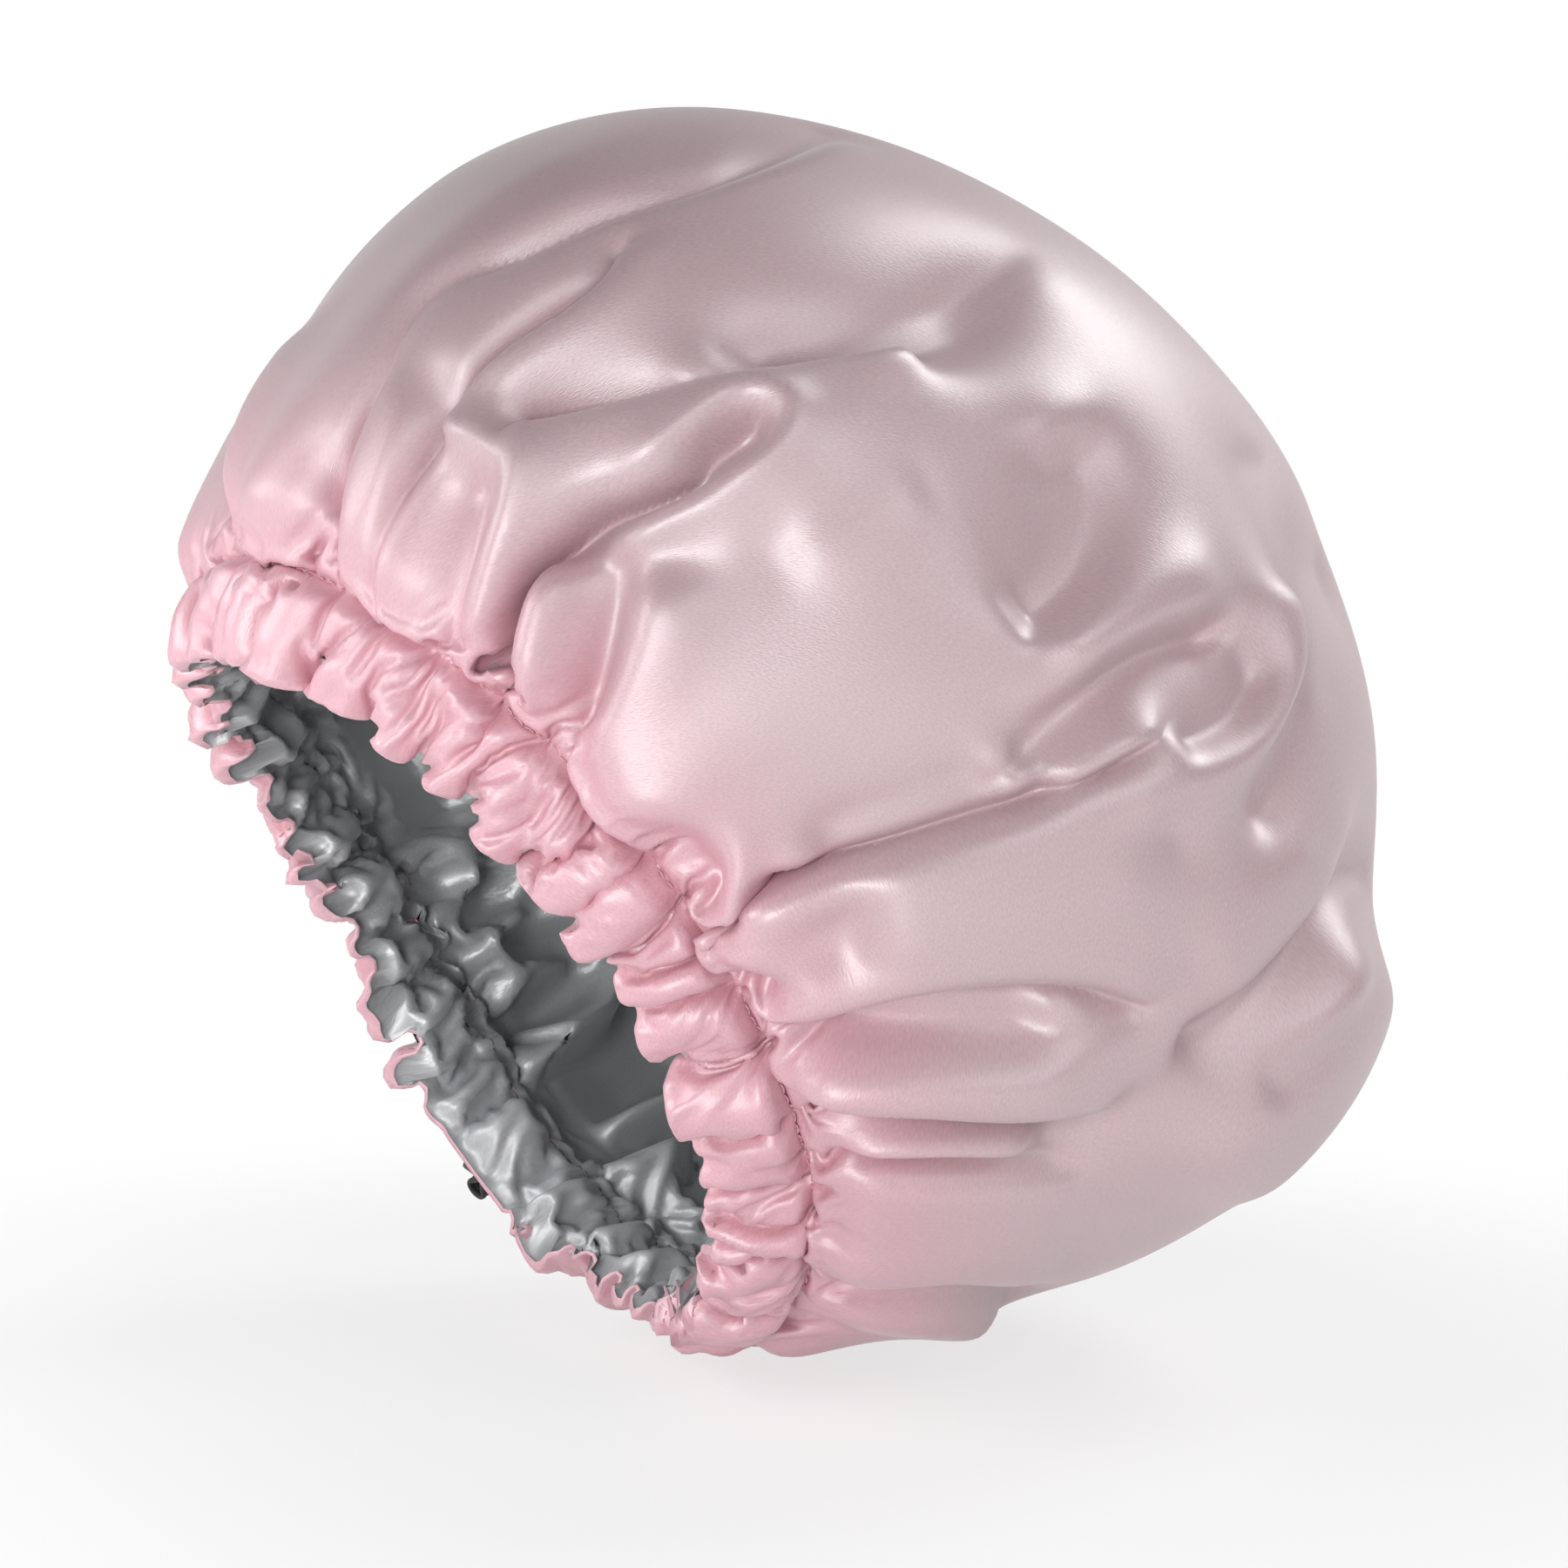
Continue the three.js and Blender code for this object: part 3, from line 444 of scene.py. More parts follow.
BASE_LEAN = math.radians(CASING_LEAN)
STITCH_HALF_DEPTH = OPENING_HALF_DEPTH + CASING_WIDTH * math.sin(BASE_LEAN)
STITCH_HALF_WIDTH = OPENING_HALF_WIDTH + CASING_WIDTH * math.sin(BASE_LEAN)
STITCH_HEIGHT = CASING_WIDTH * math.cos(BASE_LEAN)


def ring_normal(theta):
    """Outward direction of the stitch line's ring, in the plane of the brim."""
    x = np.sin(theta) / STITCH_HALF_WIDTH
    y = np.cos(theta) / STITCH_HALF_DEPTH
    return unit(np.stack([x, y, 0 * theta], -1))


def edgeward(theta):
    """Direction in the casing from the stitch line to the free edge."""
    lean = BASE_LEAN - math.radians(EXIT_FLARE) * near_exit(theta, EXIT_FLAT, EXIT_FADE)
    down = np.stack([0 * theta, 0 * theta, -np.cos(lean)], -1)
    return down - ring_normal(theta) * np.sin(lean)[..., None]


def cap_point(theta, level):
    """The smooth cap: level 0 to 1 is the casing, 1 to 2 the bag up to the widest ring, 2 to 3 above."""
    saddle = SADDLE_RISE * np.sin(theta) ** 2
    low = np.clip(level - 1, 0, 1) * math.pi / 2
    high = np.clip(level - 2, 0, 1) * math.pi / 2
    out = np.sin(low) ** (2 / BAG_FULLNESS)
    rise = 1 - np.maximum(np.cos(low), 0) ** (2 / BAG_FULLNESS)
    shrink = np.maximum(np.cos(high), 0) ** (2 / CROWN_FULLNESS)
    half_depth = (STITCH_HALF_DEPTH + (CROWN_HALF_DEPTH - STITCH_HALF_DEPTH) * out) * shrink
    half_width = (STITCH_HALF_WIDTH + (CROWN_HALF_WIDTH - STITCH_HALF_WIDTH) * out) * shrink
    height = STITCH_HEIGHT + (EQUATOR_HEIGHT - STITCH_HEIGHT) * rise
    height = height + CROWN_RISE * np.sin(high) ** (2 / CROWN_FULLNESS)
    drift = CROWN_DRIFT * (height - STITCH_HEIGHT)
    x = half_width * np.sin(theta)
    y = half_depth * np.cos(theta) + drift
    z = height + saddle * (1 - rise)
    down = CASING_WIDTH * np.clip(1 - level, 0, 1)
    return np.stack([x, y, z], -1) + edgeward(theta) * down[..., None]


def ring_direction(points):
    """Direction round the cap at each point of the grid."""
    return unit(np.roll(points, -1, axis=1) - np.roll(points, 1, axis=1))


def grid_normals(points):
    """Outward normals of a grid whose columns go round and whose rows go from the edge to the crown."""
    return unit(np.cross(np.gradient(points, axis=0), ring_direction(points)))


def tipped(directions, degrees):
    x, y, z = np.moveaxis(np.asarray(directions, float), -1, 0)
    cos, sin = math.cos(math.radians(degrees)), math.sin(math.radians(degrees))
    return np.stack([x, y * cos + z * sin, z * cos - y * sin], -1)


def turn_to_world(directions):
    """From the brim's frame to the part's frame."""
    return tipped(directions, BRIM_TILT)


def turn_to_brim(directions):
    """From the part's frame to the brim's frame."""
    return tipped(directions, -BRIM_TILT)


def to_world(local):
    """From points in the brim's frame in millimetres to the part's frame in metres."""
    return turn_to_world(local) * MM


def exit_frame():
    """Where the band leaves the casing: the place and the edgeward, side and outward directions."""
    theta = np.array(math.radians(EXIT_ANGLE))
    edge = edgeward(theta)
    out = ring_normal(theta)
    out = unit(out - edge * (out @ edge))
    return cap_point(theta, np.array(0.5)), edge, np.cross(out, edge), out


# Camera

def camera_frame():
    """The camera's place and its right, up and back directions, in metres in the part's frame."""
    azimuth = math.radians(VIEW_AZIMUTH)
    elevation = math.radians(VIEW_ELEVATION)
    level = math.cos(elevation)
    back = np.array([math.sin(azimuth) * level, -math.cos(azimuth) * level, math.sin(elevation)])
    right = np.array([math.cos(azimuth), math.sin(azimuth), 0.0])
    up = np.cross(back, right)
    centre = to_world([0.0, 0.0, VIEW_UP_CROWN]) + (VIEW_RIGHT * right + VIEW_UP * up) * MM
    return centre + back * VIEW_DISTANCE * MM, right, up, back


def photo_pixels(points):
    """Pixels of the photograph's frame where points of the part's frame appear."""
    place, right, up, back = camera_frame()
    offset = points - place
    scale = PHOTO_SIZE * LENS / SENSOR / -(offset @ back)
    half = PHOTO_SIZE / 2
    return np.stack([half + scale * (offset @ right), half - scale * (offset @ up)], -1)


# Folds

def smooth_path(points, steps):
    """A path through points, rounded as a Catmull-Rom curve."""
    knots = np.array([points[0], *points, points[-1]], float)
    t = np.linspace(0, 1, steps, endpoint=False)[:, None]
    pieces = []
    for a, b, c, d in zip(knots, knots[1:], knots[2:], knots[3:]):
        bend = (2 * a - 5 * b + 4 * c - d) * t**2 + (3 * b - a - 3 * c + d) * t**3
        pieces.append(b + 0.5 * ((c - a) * t + bend))
    return np.concatenate([*pieces, knots[-1:]])


def facing_camera(cap):
    """How far each point of the smooth cap faces the camera, from -1 to 1."""
    points = to_world(cap["base"])
    return np.sum(unit(camera_frame()[0] - points) * turn_to_world(cap["normals"]), -1)


def beside(path, distance):
    """A path in pixels moved to its left hand."""
    ahead = unit(np.gradient(path, axis=0))
    return path + distance * np.stack([ahead[:, 1], -ahead[:, 0]], -1)


def step_paths(steps):
    """Each photographed step as paths, with heights along them, a width and slides to the right."""
    for low, high, start, end, line in steps:
        path = smooth_path(line, PATH_STEPS)
        share = np.linspace(start, end, len(path))
        yield beside(path, -STEP_HALF), low * share, SHARP, 0 * share
        yield beside(path, STEP_HALF), high * share, SHARP, OVERLAP * share


def line_paths(lines):
    """The same for ridges and valleys, which slide nowhere."""
    for start, end, width, line in lines:
        path = smooth_path(line, PATH_STEPS)
        share = np.linspace(0, 1, len(path))
        fade = smooth(share, 0, 0.2) * smooth(1 - share, 0, 0.2) if width == BROAD else 1.0
        yield path, (start + (end - start) * share) * fade, width, 0 * share


def photo_pins(cap, paths, scale, seen):
    """How firmly photographed folds pin each grid point, to what heights, and how they slide it."""
    pixels = photo_pixels(to_world(cap["base"]))
    seen = seen & (cap["climb"] > PIN_START)
    weight = np.zeros(seen.shape)
    total = np.zeros(seen.shape)
    slide = np.zeros((*seen.shape, 2))
    for path, height, width, lean in paths:
        reach = 3 * OVERLAP_WIDTH
        near = seen & np.all((pixels > path.min(0) - reach) & (pixels < path.max(0) + reach), axis=-1)
        away = np.linalg.norm(pixels[near][:, None] - path, axis=-1)
        closest = away.argmin(1)
        grip = np.exp(-((away.min(1) / width) ** 2))
        weight[near] += grip
        total[near] += grip * scale * height[closest]
        rightward = (beside(path, -1) - path) * lean[:, None]
        slide[near] += np.exp(-((away.min(1) / OVERLAP_WIDTH) ** 2))[:, None] * rightward[closest]
    _, right, up, _ = camera_frame()
    moved = turn_to_brim(slide[..., :1] * right - slide[..., 1:] * up)
    moved -= cap["normals"] * np.sum(moved * cap["normals"], -1, keepdims=True)
    return weight, total, moved


def far_pins(cap, folds, where):
    """The same for folds up from the brim, each from its foot to its tip."""
    theta, climb = cap["theta"], cap["climb"]
    radius = np.linalg.norm(cap["base"][..., :2], axis=-1)
    weight = np.zeros(theta.shape)
    total = np.zeros(theta.shape)
    for foot, tip, reach, size in folds:
        share = climb / reach
        sway = FAR_SWAY * np.sin(climb / FAR_SWAY_LENGTH + foot)
        turned = theta - np.radians(foot + (tip - foot) * share) - sway
        away = np.arctan2(np.sin(turned), np.cos(turned)) * radius
        grip = np.exp(-((away / FAR_HALF) ** 2)) * where * (climb > FAR_START) * (share < 1)
        weight += grip
        total += grip * size * (1 - FAR_LOSS * share)
    return weight, total


def lining_folds(rng):
    """Folds of the lining, all round the cap, valley and ridge in turn."""
    folds = []
    for k in range(LINING_FOLDS):
        foot = 360 * (k + rng.uniform(-0.3, 0.3)) / LINING_FOLDS
        height = LINING_FOLD_SIZE * rng.uniform(0.5, 1.1) * (0.7 if k % 2 else -1)
        folds.append((foot, foot + 8 * rng.normal(), rng.uniform(60, 160), height))
    return folds


def fold_surface(cap, pins, blur):
    """Heights that follow the pinned fold lines and sink softly to the smooth cap away from them."""
    base = cap["base"]
    across = 4 / np.sum((np.roll(base, -1, axis=1) - np.roll(base, 1, axis=1)) ** 2, -1)
    along = 1 / np.gradient(cap["climb"][:, 0])[:, None] ** 2
    weight, total = pins
    whole = 2 * across + 2 * along + FOLD_REACH**-2 + PIN_GRIP * weight
    height = np.zeros(base.shape[:2])
    for _ in range(FOLD_PASSES):
        padded = np.pad(height, ((1, 1), (0, 0)), mode="edge")
        height = across * (np.roll(height, 1, axis=1) + np.roll(height, -1, axis=1))
        height = (height + along * (padded[2:] + padded[:-2]) + PIN_GRIP * total) / whole
    crisp = blurred(height, blur)
    rounded = blurred(height, ROUNDING * blur)
    return crisp + (rounded - crisp) * smooth(crisp, -3.0, 1.0)


def blurred(height, passes):
    """Heights softened along and across the grid."""
    for _ in range(passes):
        height = (np.roll(height, 1, axis=1) + 2 * height + np.roll(height, -1, axis=1)) / 4
        padded = np.pad(height, ((1, 1), (0, 0)), mode="edge")
        height = (padded[2:] + 6 * height + padded[:-2]) / 8
    return height


def wave_sum(theta, counts, rng, slant=0.0):
    """Random waves of about unit height round the cap, and their swing; slant turns their phases."""
    rise = np.zeros_like(theta)
    swing = np.zeros_like(theta)
    for count in counts:
        phase = count * theta + rng.uniform(0, TURN) + slant * rng.normal()
        rise += np.cos(phase)
        swing += np.sin(phase)
    return rise / math.sqrt(len(counts) / 2), swing / math.sqrt(len(counts) / 2)


def soft_dents(cap, rng, size):
    """Low uneven swells all over the crown, in mm."""
    total = np.zeros_like(cap["theta"])
    for count in DENT_WAVES:
        along = cap["climb"] / rng.uniform(*DENT_LENGTHS)
        around = np.cos(count * cap["theta"] + rng.uniform(0, TURN))
        total += around * np.cos(along + rng.uniform(0, TURN))
    return size * total / 2 * smooth(cap["climb"], 20, 90) * (1 - smooth(cap["level"], 2.6, 2.95))


# Cloth

def smooth_cap():
    """The smooth cap on the cloth's grid, with the distance up the cloth from the stitch line in mm."""
    casing = np.linspace(0, 1, CASING_ROWS, endpoint=False)
    bag = np.linspace(1, 2, BAG_ROWS, endpoint=False)
    up = np.linspace(0, 1, CROWN_ROWS)
    crown = 2 + (CROWN_STOP - 2) * (0.6 * up + 0.4 * up**2)
    levels = np.concatenate([casing, bag, crown])
    even = np.arange(COLUMNS) * TURN / COLUMNS
    around = even - FINER * np.sin(even - math.radians(FINE_SIDE))
    level, theta = np.meshgrid(levels, around, indexing="ij")
    base = cap_point(theta, level)
    steps = np.linalg.norm(np.diff(base, axis=0), axis=2).mean(1)
    climb = np.concatenate([[0], np.cumsum(steps)])
    climb = (climb - climb[CASING_ROWS])[:, None] + 0 * theta
    return dict(base=base, normals=grid_normals(base), level=level, theta=theta, climb=climb)


def gathered_height(cap, side, rng, folds):
    """Height of a gathered layer over the smooth cap, unsettled; side is 1 outside, -1 inside."""
    level, theta = cap["level"], cap["theta"]
    above = np.maximum(cap["climb"], 0)
    down = 1 - np.minimum(level, 1)
    slow, quick = WARP_WAVES
    warp = GATHER_WARP * (wave_sum(theta, slow, rng)[0] * down)
    warp = warp + GATHER_WARP * wave_sum(theta, quick, rng)[0] * np.sin(math.pi * down)
    waves = GATHER_WAVES if side > 0 else LINING_WAVES
    wave, swing = wave_sum(theta + warp, waves, rng, GATHER_SLANT * down)
    wave = WAVE_LIMIT * np.tanh(wave / WAVE_LIMIT)
    puff = CASING_PUFF * (PUFF_LIFT + side * wave)
    edge = EDGE_RUFFLE * wave + side * EDGE_HALF_GAP
    tube = side * (BAND_HALF_GAP + np.maximum(puff, 0))
    stitch = STITCH_PUCKER * wave + side * LAYER_HALF_GAP
    lower = edge + (tube - edge) * smooth(level, 0.06, 0.3)
    casing = lower + (stitch - tube) * smooth(level, 0.75, 1.0)
    bag = side * LAYER_HALF_GAP + folds * smooth(above, 2, 20)
    for waves, amount, reach in PLEATS:
        start = 1.0 if waves is GATHER_WAVES else smooth(above, 0, 14)
        pleat = wave if waves is GATHER_WAVES else wave_sum(theta, waves, rng)[0]
        bag = bag + amount * pleat * np.exp(-above / reach) * start
    return np.where(level <= 1, casing, bag), wave, swing


def pull(points, step, rest, strength, round_cap, only_short=False):
    """Moves the two ends of each link of the cloth towards its rest length."""
    link = np.roll(points, -step, axis=1) - points if round_cap else points[step:] - points[:-step]
    length = np.linalg.norm(link, axis=-1) + 1e-9
    amount = 0.5 * strength * (1 - rest / length)
    if only_short:
        amount = np.minimum(amount, 0)
    move = link * amount[..., None]
    if round_cap:
        points += move - np.roll(move, step, axis=1)
    else:
        points[:-step] += move
        points[step:] -= move


def shear(points, turn, rest, strength):
    """The same for the links that cross the cells of the cloth."""
    link = np.roll(points[1:], -turn, axis=1) - points[:-1]
    length = np.linalg.norm(link, axis=-1) + 1e-9
    move = link * (0.5 * strength * (1 - rest / length))[..., None]
    points[:-1] += move
    points[1:] -= np.roll(move, turn, axis=1)


def settle(cap, points, target, hold, aim, low, high):
    """Lets cloth settle: it keeps its length, resists bending and is drawn to its main folds."""
    points = points.astype(np.float32)
    base, normals, climb = (cap[k].astype(np.float32) for k in ("base", "normals", "climb"))
    target, hold, aim = (a.astype(np.float32) for a in (target, hold, aim))
    fullness = np.interp(climb, FULLNESS_CLIMB, FULLNESS).astype(np.float32)
    calm = near_exit(cap["theta"], CALM_FLAT, CALM_FADE).astype(np.float32) * (climb < CALM_CLIMB)
    fullness = 1 + (fullness - 1) * (1 - CALM_SHARE * calm)
    hoop = np.linalg.norm(np.roll(base, -1, axis=1) - base, axis=-1) * fullness
    rib = np.linalg.norm(np.diff(base, axis=0), axis=-1)
    hoop = np.maximum(hoop, np.linalg.norm(np.roll(points, -1, axis=1) - points, axis=-1))
    rib = np.maximum(rib, np.linalg.norm(np.diff(points, axis=0), axis=-1))
    cross = np.sqrt(rib**2 + hoop[:-1] * hoop[1:])
    start = points.copy()
    before = points.copy()
    for _ in range(SETTLE_PASSES):
        drift = (points - before) * CARRY
        before = points.copy()
        points += drift
        for _ in range(2):
            pull(points, 1, hoop, LINK_PULL, True)
            pull(points, 1, rib, LINK_PULL, False)
            shear(points, 1, cross, SHEAR_PULL)
            shear(points, -1, cross, SHEAR_PULL)
            pull(points, 2, 2 * hoop, BEND_PULL, True, True)
            pull(points, 2, rib[1:] + rib[:-1], BEND_PULL, False, True)
        points += (start - points) * hold[..., None]
        height = np.sum((points - base) * normals, -1)
        outside = np.maximum(height - high, 0) - np.maximum(low - height, 0)
        points += normals * ((target - height) * aim - ROOM_PUSH * outside)[..., None]
    return points


def on_band(level):
    """Where the cloth lies on the elastic."""
    low, high = BAND_LEVELS
    return (level > low) & (level < high)


def kept_within(cap, points, low, high):
    """Points moved straight in or out until they lie between two heights over the smooth cap."""
    height = np.sum((points - cap["base"]) * cap["normals"], -1)
    return points + cap["normals"] * (np.clip(height, low, high) - height)[..., None]


def overhang(cap, rng, share):
    """How far the full bag sags over the casing, beside the stitch line."""
    wave, _ = wave_sum(cap["theta"], OVERHANG_WAVES, rng)
    amount = OVERHANG * np.maximum(1 + OVERHANG_UNEVEN * wave, 0)
    climb = np.maximum(cap["climb"], 0)
    sag = amount * share * smooth(climb, 0, 9) * (1 - smooth(climb, 9, 38))
    return (edgeward(cap["theta"]) + 0.5 * cap["normals"]) * sag[..., None]


def outer_cloth(cap):
    """The settled outer layer."""
    rng = np.random.default_rng(SEED)
    level, theta, climb = cap["level"], cap["theta"], cap["climb"]
    facing = facing_camera(cap)
    calm = near_exit(theta, CALM_FLAT, CALM_FADE)
    behind = smooth(-facing, 0.2, 0.5)
    far_weight, far_total = far_pins(cap, FAR_FOLDS, facing < -0.05)
    back_weight, back_total = far_pins(cap, BACK_FOLDS, behind)
    paths = [*step_paths(FOLD_STEPS), *line_paths(FOLD_LINES)]
    weight, total, slide = photo_pins(cap, paths, FOLD_SCALE, facing > 0.02)
    pins = weight + far_weight + back_weight, total + far_total + back_total
    folds = fold_surface(cap, pins, OUTER_BLUR) + soft_dents(cap, rng, DENT_SIZE + BACK_DENTS * behind)
    height, wave, swing = gathered_height(cap, 1, rng, folds)
    seat = np.where(level <= 1, EXIT_SEAT, LAYER_HALF_GAP) * smooth(level, 0.0, 0.2)
    near = calm * (1 - smooth(climb, 10, CALM_CLIMB))
    height = height + (seat - height) * near
    scallop = EDGE_SCALLOP * wave * (1 - calm) * smooth(1 - level, 0.4, 1.0)
    points = cap["base"] + cap["normals"] * height[..., None] + edgeward(theta) * scallop[..., None]
    sway = GATHER_SWAY * swing * (1 - near) * (1 - smooth(climb, 0, 12))
    points += ring_direction(cap["base"]) * sway[..., None]
    sag = overhang(cap, rng, (1 - near) * smooth(folds, -6, 0))
    points += sag + slide * smooth(climb, 2, 14)[..., None]
    hold = np.maximum(np.interp(level, *OUTER_HOLD), CALM_HOLD * near)
    aim = OUTER_AIM * smooth(climb, 8, 40)
    low = np.where(level > 1, -INNER_ROOM, -CASING_INNER_ROOM)
    low = np.where(on_band(level), BAND_HALF_GAP, low)
    high = np.where(level > 1, OUTER_ROOM, CASING_OUTER_ROOM)
    settled = settle(cap, points, height, hold, aim, low, high)
    cloth = settled + (points - settled) * smooth(climb, 5, 20)[..., None]
    return kept_within(cap, cloth, np.where(on_band(level), low, -np.inf), np.inf)


def lowest_around(height, columns, rows):
    """The least height near each point of the grid."""
    least = height
    for turn in range(-columns, columns + 1):
        least = np.minimum(least, np.roll(height, turn, axis=1))
    padded = np.pad(least, ((rows, rows), (0, 0)), mode="edge")
    return np.min([padded[k:k + len(height)] for k in range(2 * rows + 1)], axis=0)


def inner_cloth(cap, outer):
    """The settled lining, sewn to the outer layer along the free edge and the stitch line."""
    rng = np.random.default_rng(SEED)
    level, climb, facing = cap["level"], cap["climb"], facing_camera(cap)
    weight, total, _ = photo_pins(cap, line_paths(LINING_LINES), LINING_SCALE, facing < -0.02)
    hidden = 1 - smooth(blurred(weight, 40), 0.0, 0.03)
    far_weight, far_total = far_pins(cap, lining_folds(np.random.default_rng(SEED + 1)), hidden)
    folds = fold_surface(cap, (weight + far_weight, total + far_total), LINING_BLUR)
    folds = folds - LINING_SINK * smooth(climb, 0, 60)
    height, _, _ = gathered_height(cap, -1, rng, folds)
    outer_height = np.sum((outer - cap["base"]) * cap["normals"], -1)
    near_side = smooth(facing, -0.15, 0.1)
    close_roof = lowest_around(outer_height, 6, 0) - CLOSE_GAP
    roof = lowest_around(outer_height, 14, 9) - ROOF_GAP + ROOF_EASE * near_side
    high = np.where(on_band(level), -BAND_HALF_GAP, close_roof)
    sunk = smooth(climb, 6, 24) + (smooth(climb, 0, 6) - smooth(climb, 6, 24)) * near_side
    high = high + (np.minimum(roof, high) - high) * sunk
    height = np.minimum(height, high)
    points = cap["base"] + cap["normals"] * height[..., None]
    sewn = [0, 1, CASING_ROWS]
    points[sewn] = outer[sewn] - grid_normals(outer)[sewn] * 2 * LAYER_HALF_GAP
    hold = np.interp(level, *LINING_HOLD)
    hold[sewn] = 1.0
    aim = LINING_AIM * smooth(climb, 8, 40)
    low = np.full_like(level, -LINING_ROOM)
    settled = settle(cap, points, height, hold, aim, low, high)
    share = np.maximum(smooth(climb, 10, 30) * (1 - hidden), smooth(climb, 30, 80))
    cloth = settled + (points - settled) * share[..., None]
    return kept_within(cap, cloth, low, np.where((climb > 2) | on_band(level), high, np.inf))


def turned_edge(theta, outer, lining):
    """The outer layer with its free edge turned over onto the lining."""
    inward = grid_normals(lining)[0] * -HEM_GAP
    rim = (outer[0] + lining[0]) / 2 + edgeward(theta) * HEM_DROP
    return np.concatenate([(lining[0] + inward)[None], rim[None], outer])


# Pieces

def add_object(name, data):
    made = bpy.data.objects.new(name, data)
    bpy.context.scene.collection.objects.link(made)
    return made


def mesh_object(name, points, faces, body, *nodes):
    """A smooth mesh from points in metres, riding on a body in place of the CAD nodes."""
    mesh = bpy.data.meshes.new(name)
    mesh.from_pydata([tuple(p) for p in points], [], [tuple(f) for f in faces])
    mesh.polygons.foreach_set("use_smooth", [True] * len(mesh.polygons))
    mesh.update()
    piece = add_object(name, mesh)
    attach(piece, body)
    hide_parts(*nodes)
    return piece


def cloth_object(name, grid, theta, radii, slit, *nodes):
    """A cloth sheet from a grid of points in mm, closed at the crown by one point, with flat UVs."""
    rows, columns = grid.shape[:2]
    points = np.concatenate([grid.reshape(-1, 3), grid[-1].mean(0)[None]])
    index = np.arange(rows * columns).reshape(rows, columns)
    ahead = np.roll(index, -1, axis=1)
    quads = np.stack([index[:-1], index[1:], ahead[1:], ahead[:-1]], -1).reshape(-1, 4)
    if slit:
        quads = quads[~in_slit(points[quads].mean(1))]
    crown = np.stack([index[-1], np.full(columns, rows * columns), ahead[-1]], -1)
    piece = mesh_object(name, to_world(points), quads.tolist() + crown.tolist(), "cap", *nodes)
    flat = np.stack([np.outer(radii, np.cos(theta)), np.outer(radii, np.sin(theta))], -1).reshape(-1, 2)
    flat = np.concatenate([flat, [[0, 0]]]) * MM + CUT_CENTRE
    layer = piece.data.uv_layers.new(name="cut")
    corners = np.zeros(len(piece.data.loops), int)
    piece.data.loops.foreach_get("vertex_index", corners)
    layer.data.foreach_set("uv", flat[corners].ravel())
    return piece


def in_slit(points):
    """Which points lie in the slit that lets the band out of the casing."""
    origin, edge, side, out = exit_frame()
    offset = points - origin
    across = (np.abs(offset @ edge) < SLIT_HALF_LENGTH) & (np.abs(offset @ side) < SLIT_HALF_WIDTH)
    return across & (np.abs(offset @ out) < SLIT_REACH)


def sweep(stations, firsts, section, closed):
    """Points and faces of a section swept along stations; firsts are directions of its first axis."""
    if closed:
        tangents = unit(np.roll(stations, -1, axis=0) - np.roll(stations, 1, axis=0))
    else:
        tangents = unit(np.gradient(stations, axis=0))
    firsts = unit(firsts - tangents * np.sum(firsts * tangents, -1, keepdims=True))
    seconds = np.cross(tangents, firsts)
    rings = stations[:, None] + firsts[:, None] * section[:, :1] + seconds[:, None] * section[:, 1:]
    count, sides = len(stations), len(section)
    index = np.arange(count * sides).reshape(count, sides)
    if closed:
        index = np.concatenate([index, index[:1]])
    turned = np.roll(index, -1, axis=1)
    faces = np.stack([index[:-1], turned[:-1], turned[1:], index[1:]], -1).reshape(-1, 4).tolist()
    if not closed:
        faces += [index[0][::-1].tolist(), index[-1].tolist()]
    return rings.reshape(-1, 3), faces


def joined(parts):
    """One list of points and faces from several."""
    points, faces, start = [], [], 0
    for part_points, part_faces in parts:
        points.append(part_points)
        faces += [[start + k for k in face] for face in part_faces]
        start += len(part_points)
    return np.concatenate(points), faces


def wire(path, firsts, radius, sides):
    """Points and faces of a round thread or wire along a path."""
    turns = np.arange(sides) * TURN / sides
    return sweep(path, firsts, radius * np.stack([np.cos(turns), np.sin(turns)], -1), False)


def at_distances(spots, travel, values):
    """Values along a closed line at distances from its start."""
    return np.stack([np.interp(spots, travel, row, period=travel[-1]) for row in values.T], -1)


def stitch_row(line, normals, pitch, length, radius):
    """Stitches along a closed line, each one a short thread whose ends go down into the cloth."""
    closed = np.concatenate([line, line[:1]])
    travel = np.concatenate([[0], np.cumsum(np.linalg.norm(np.diff(closed, axis=0), axis=1))])
    outs = np.concatenate([normals, normals[:1]])
    count = int(travel[-1] / pitch)
    share = np.linspace(0, 1, 6)
    lift = radius * (1.9 * np.sin(share * math.pi) ** 0.6 - 1.0)
    parts = []
    for start in np.arange(count) * travel[-1] / count:
        spots = start + share * length
        out = at_distances(spots, travel, outs)
        path = at_distances(spots, travel, closed)
        parts.append(wire(path + unit(out) * lift[:, None], out, radius, THREAD_SIDES))
    return joined(parts)


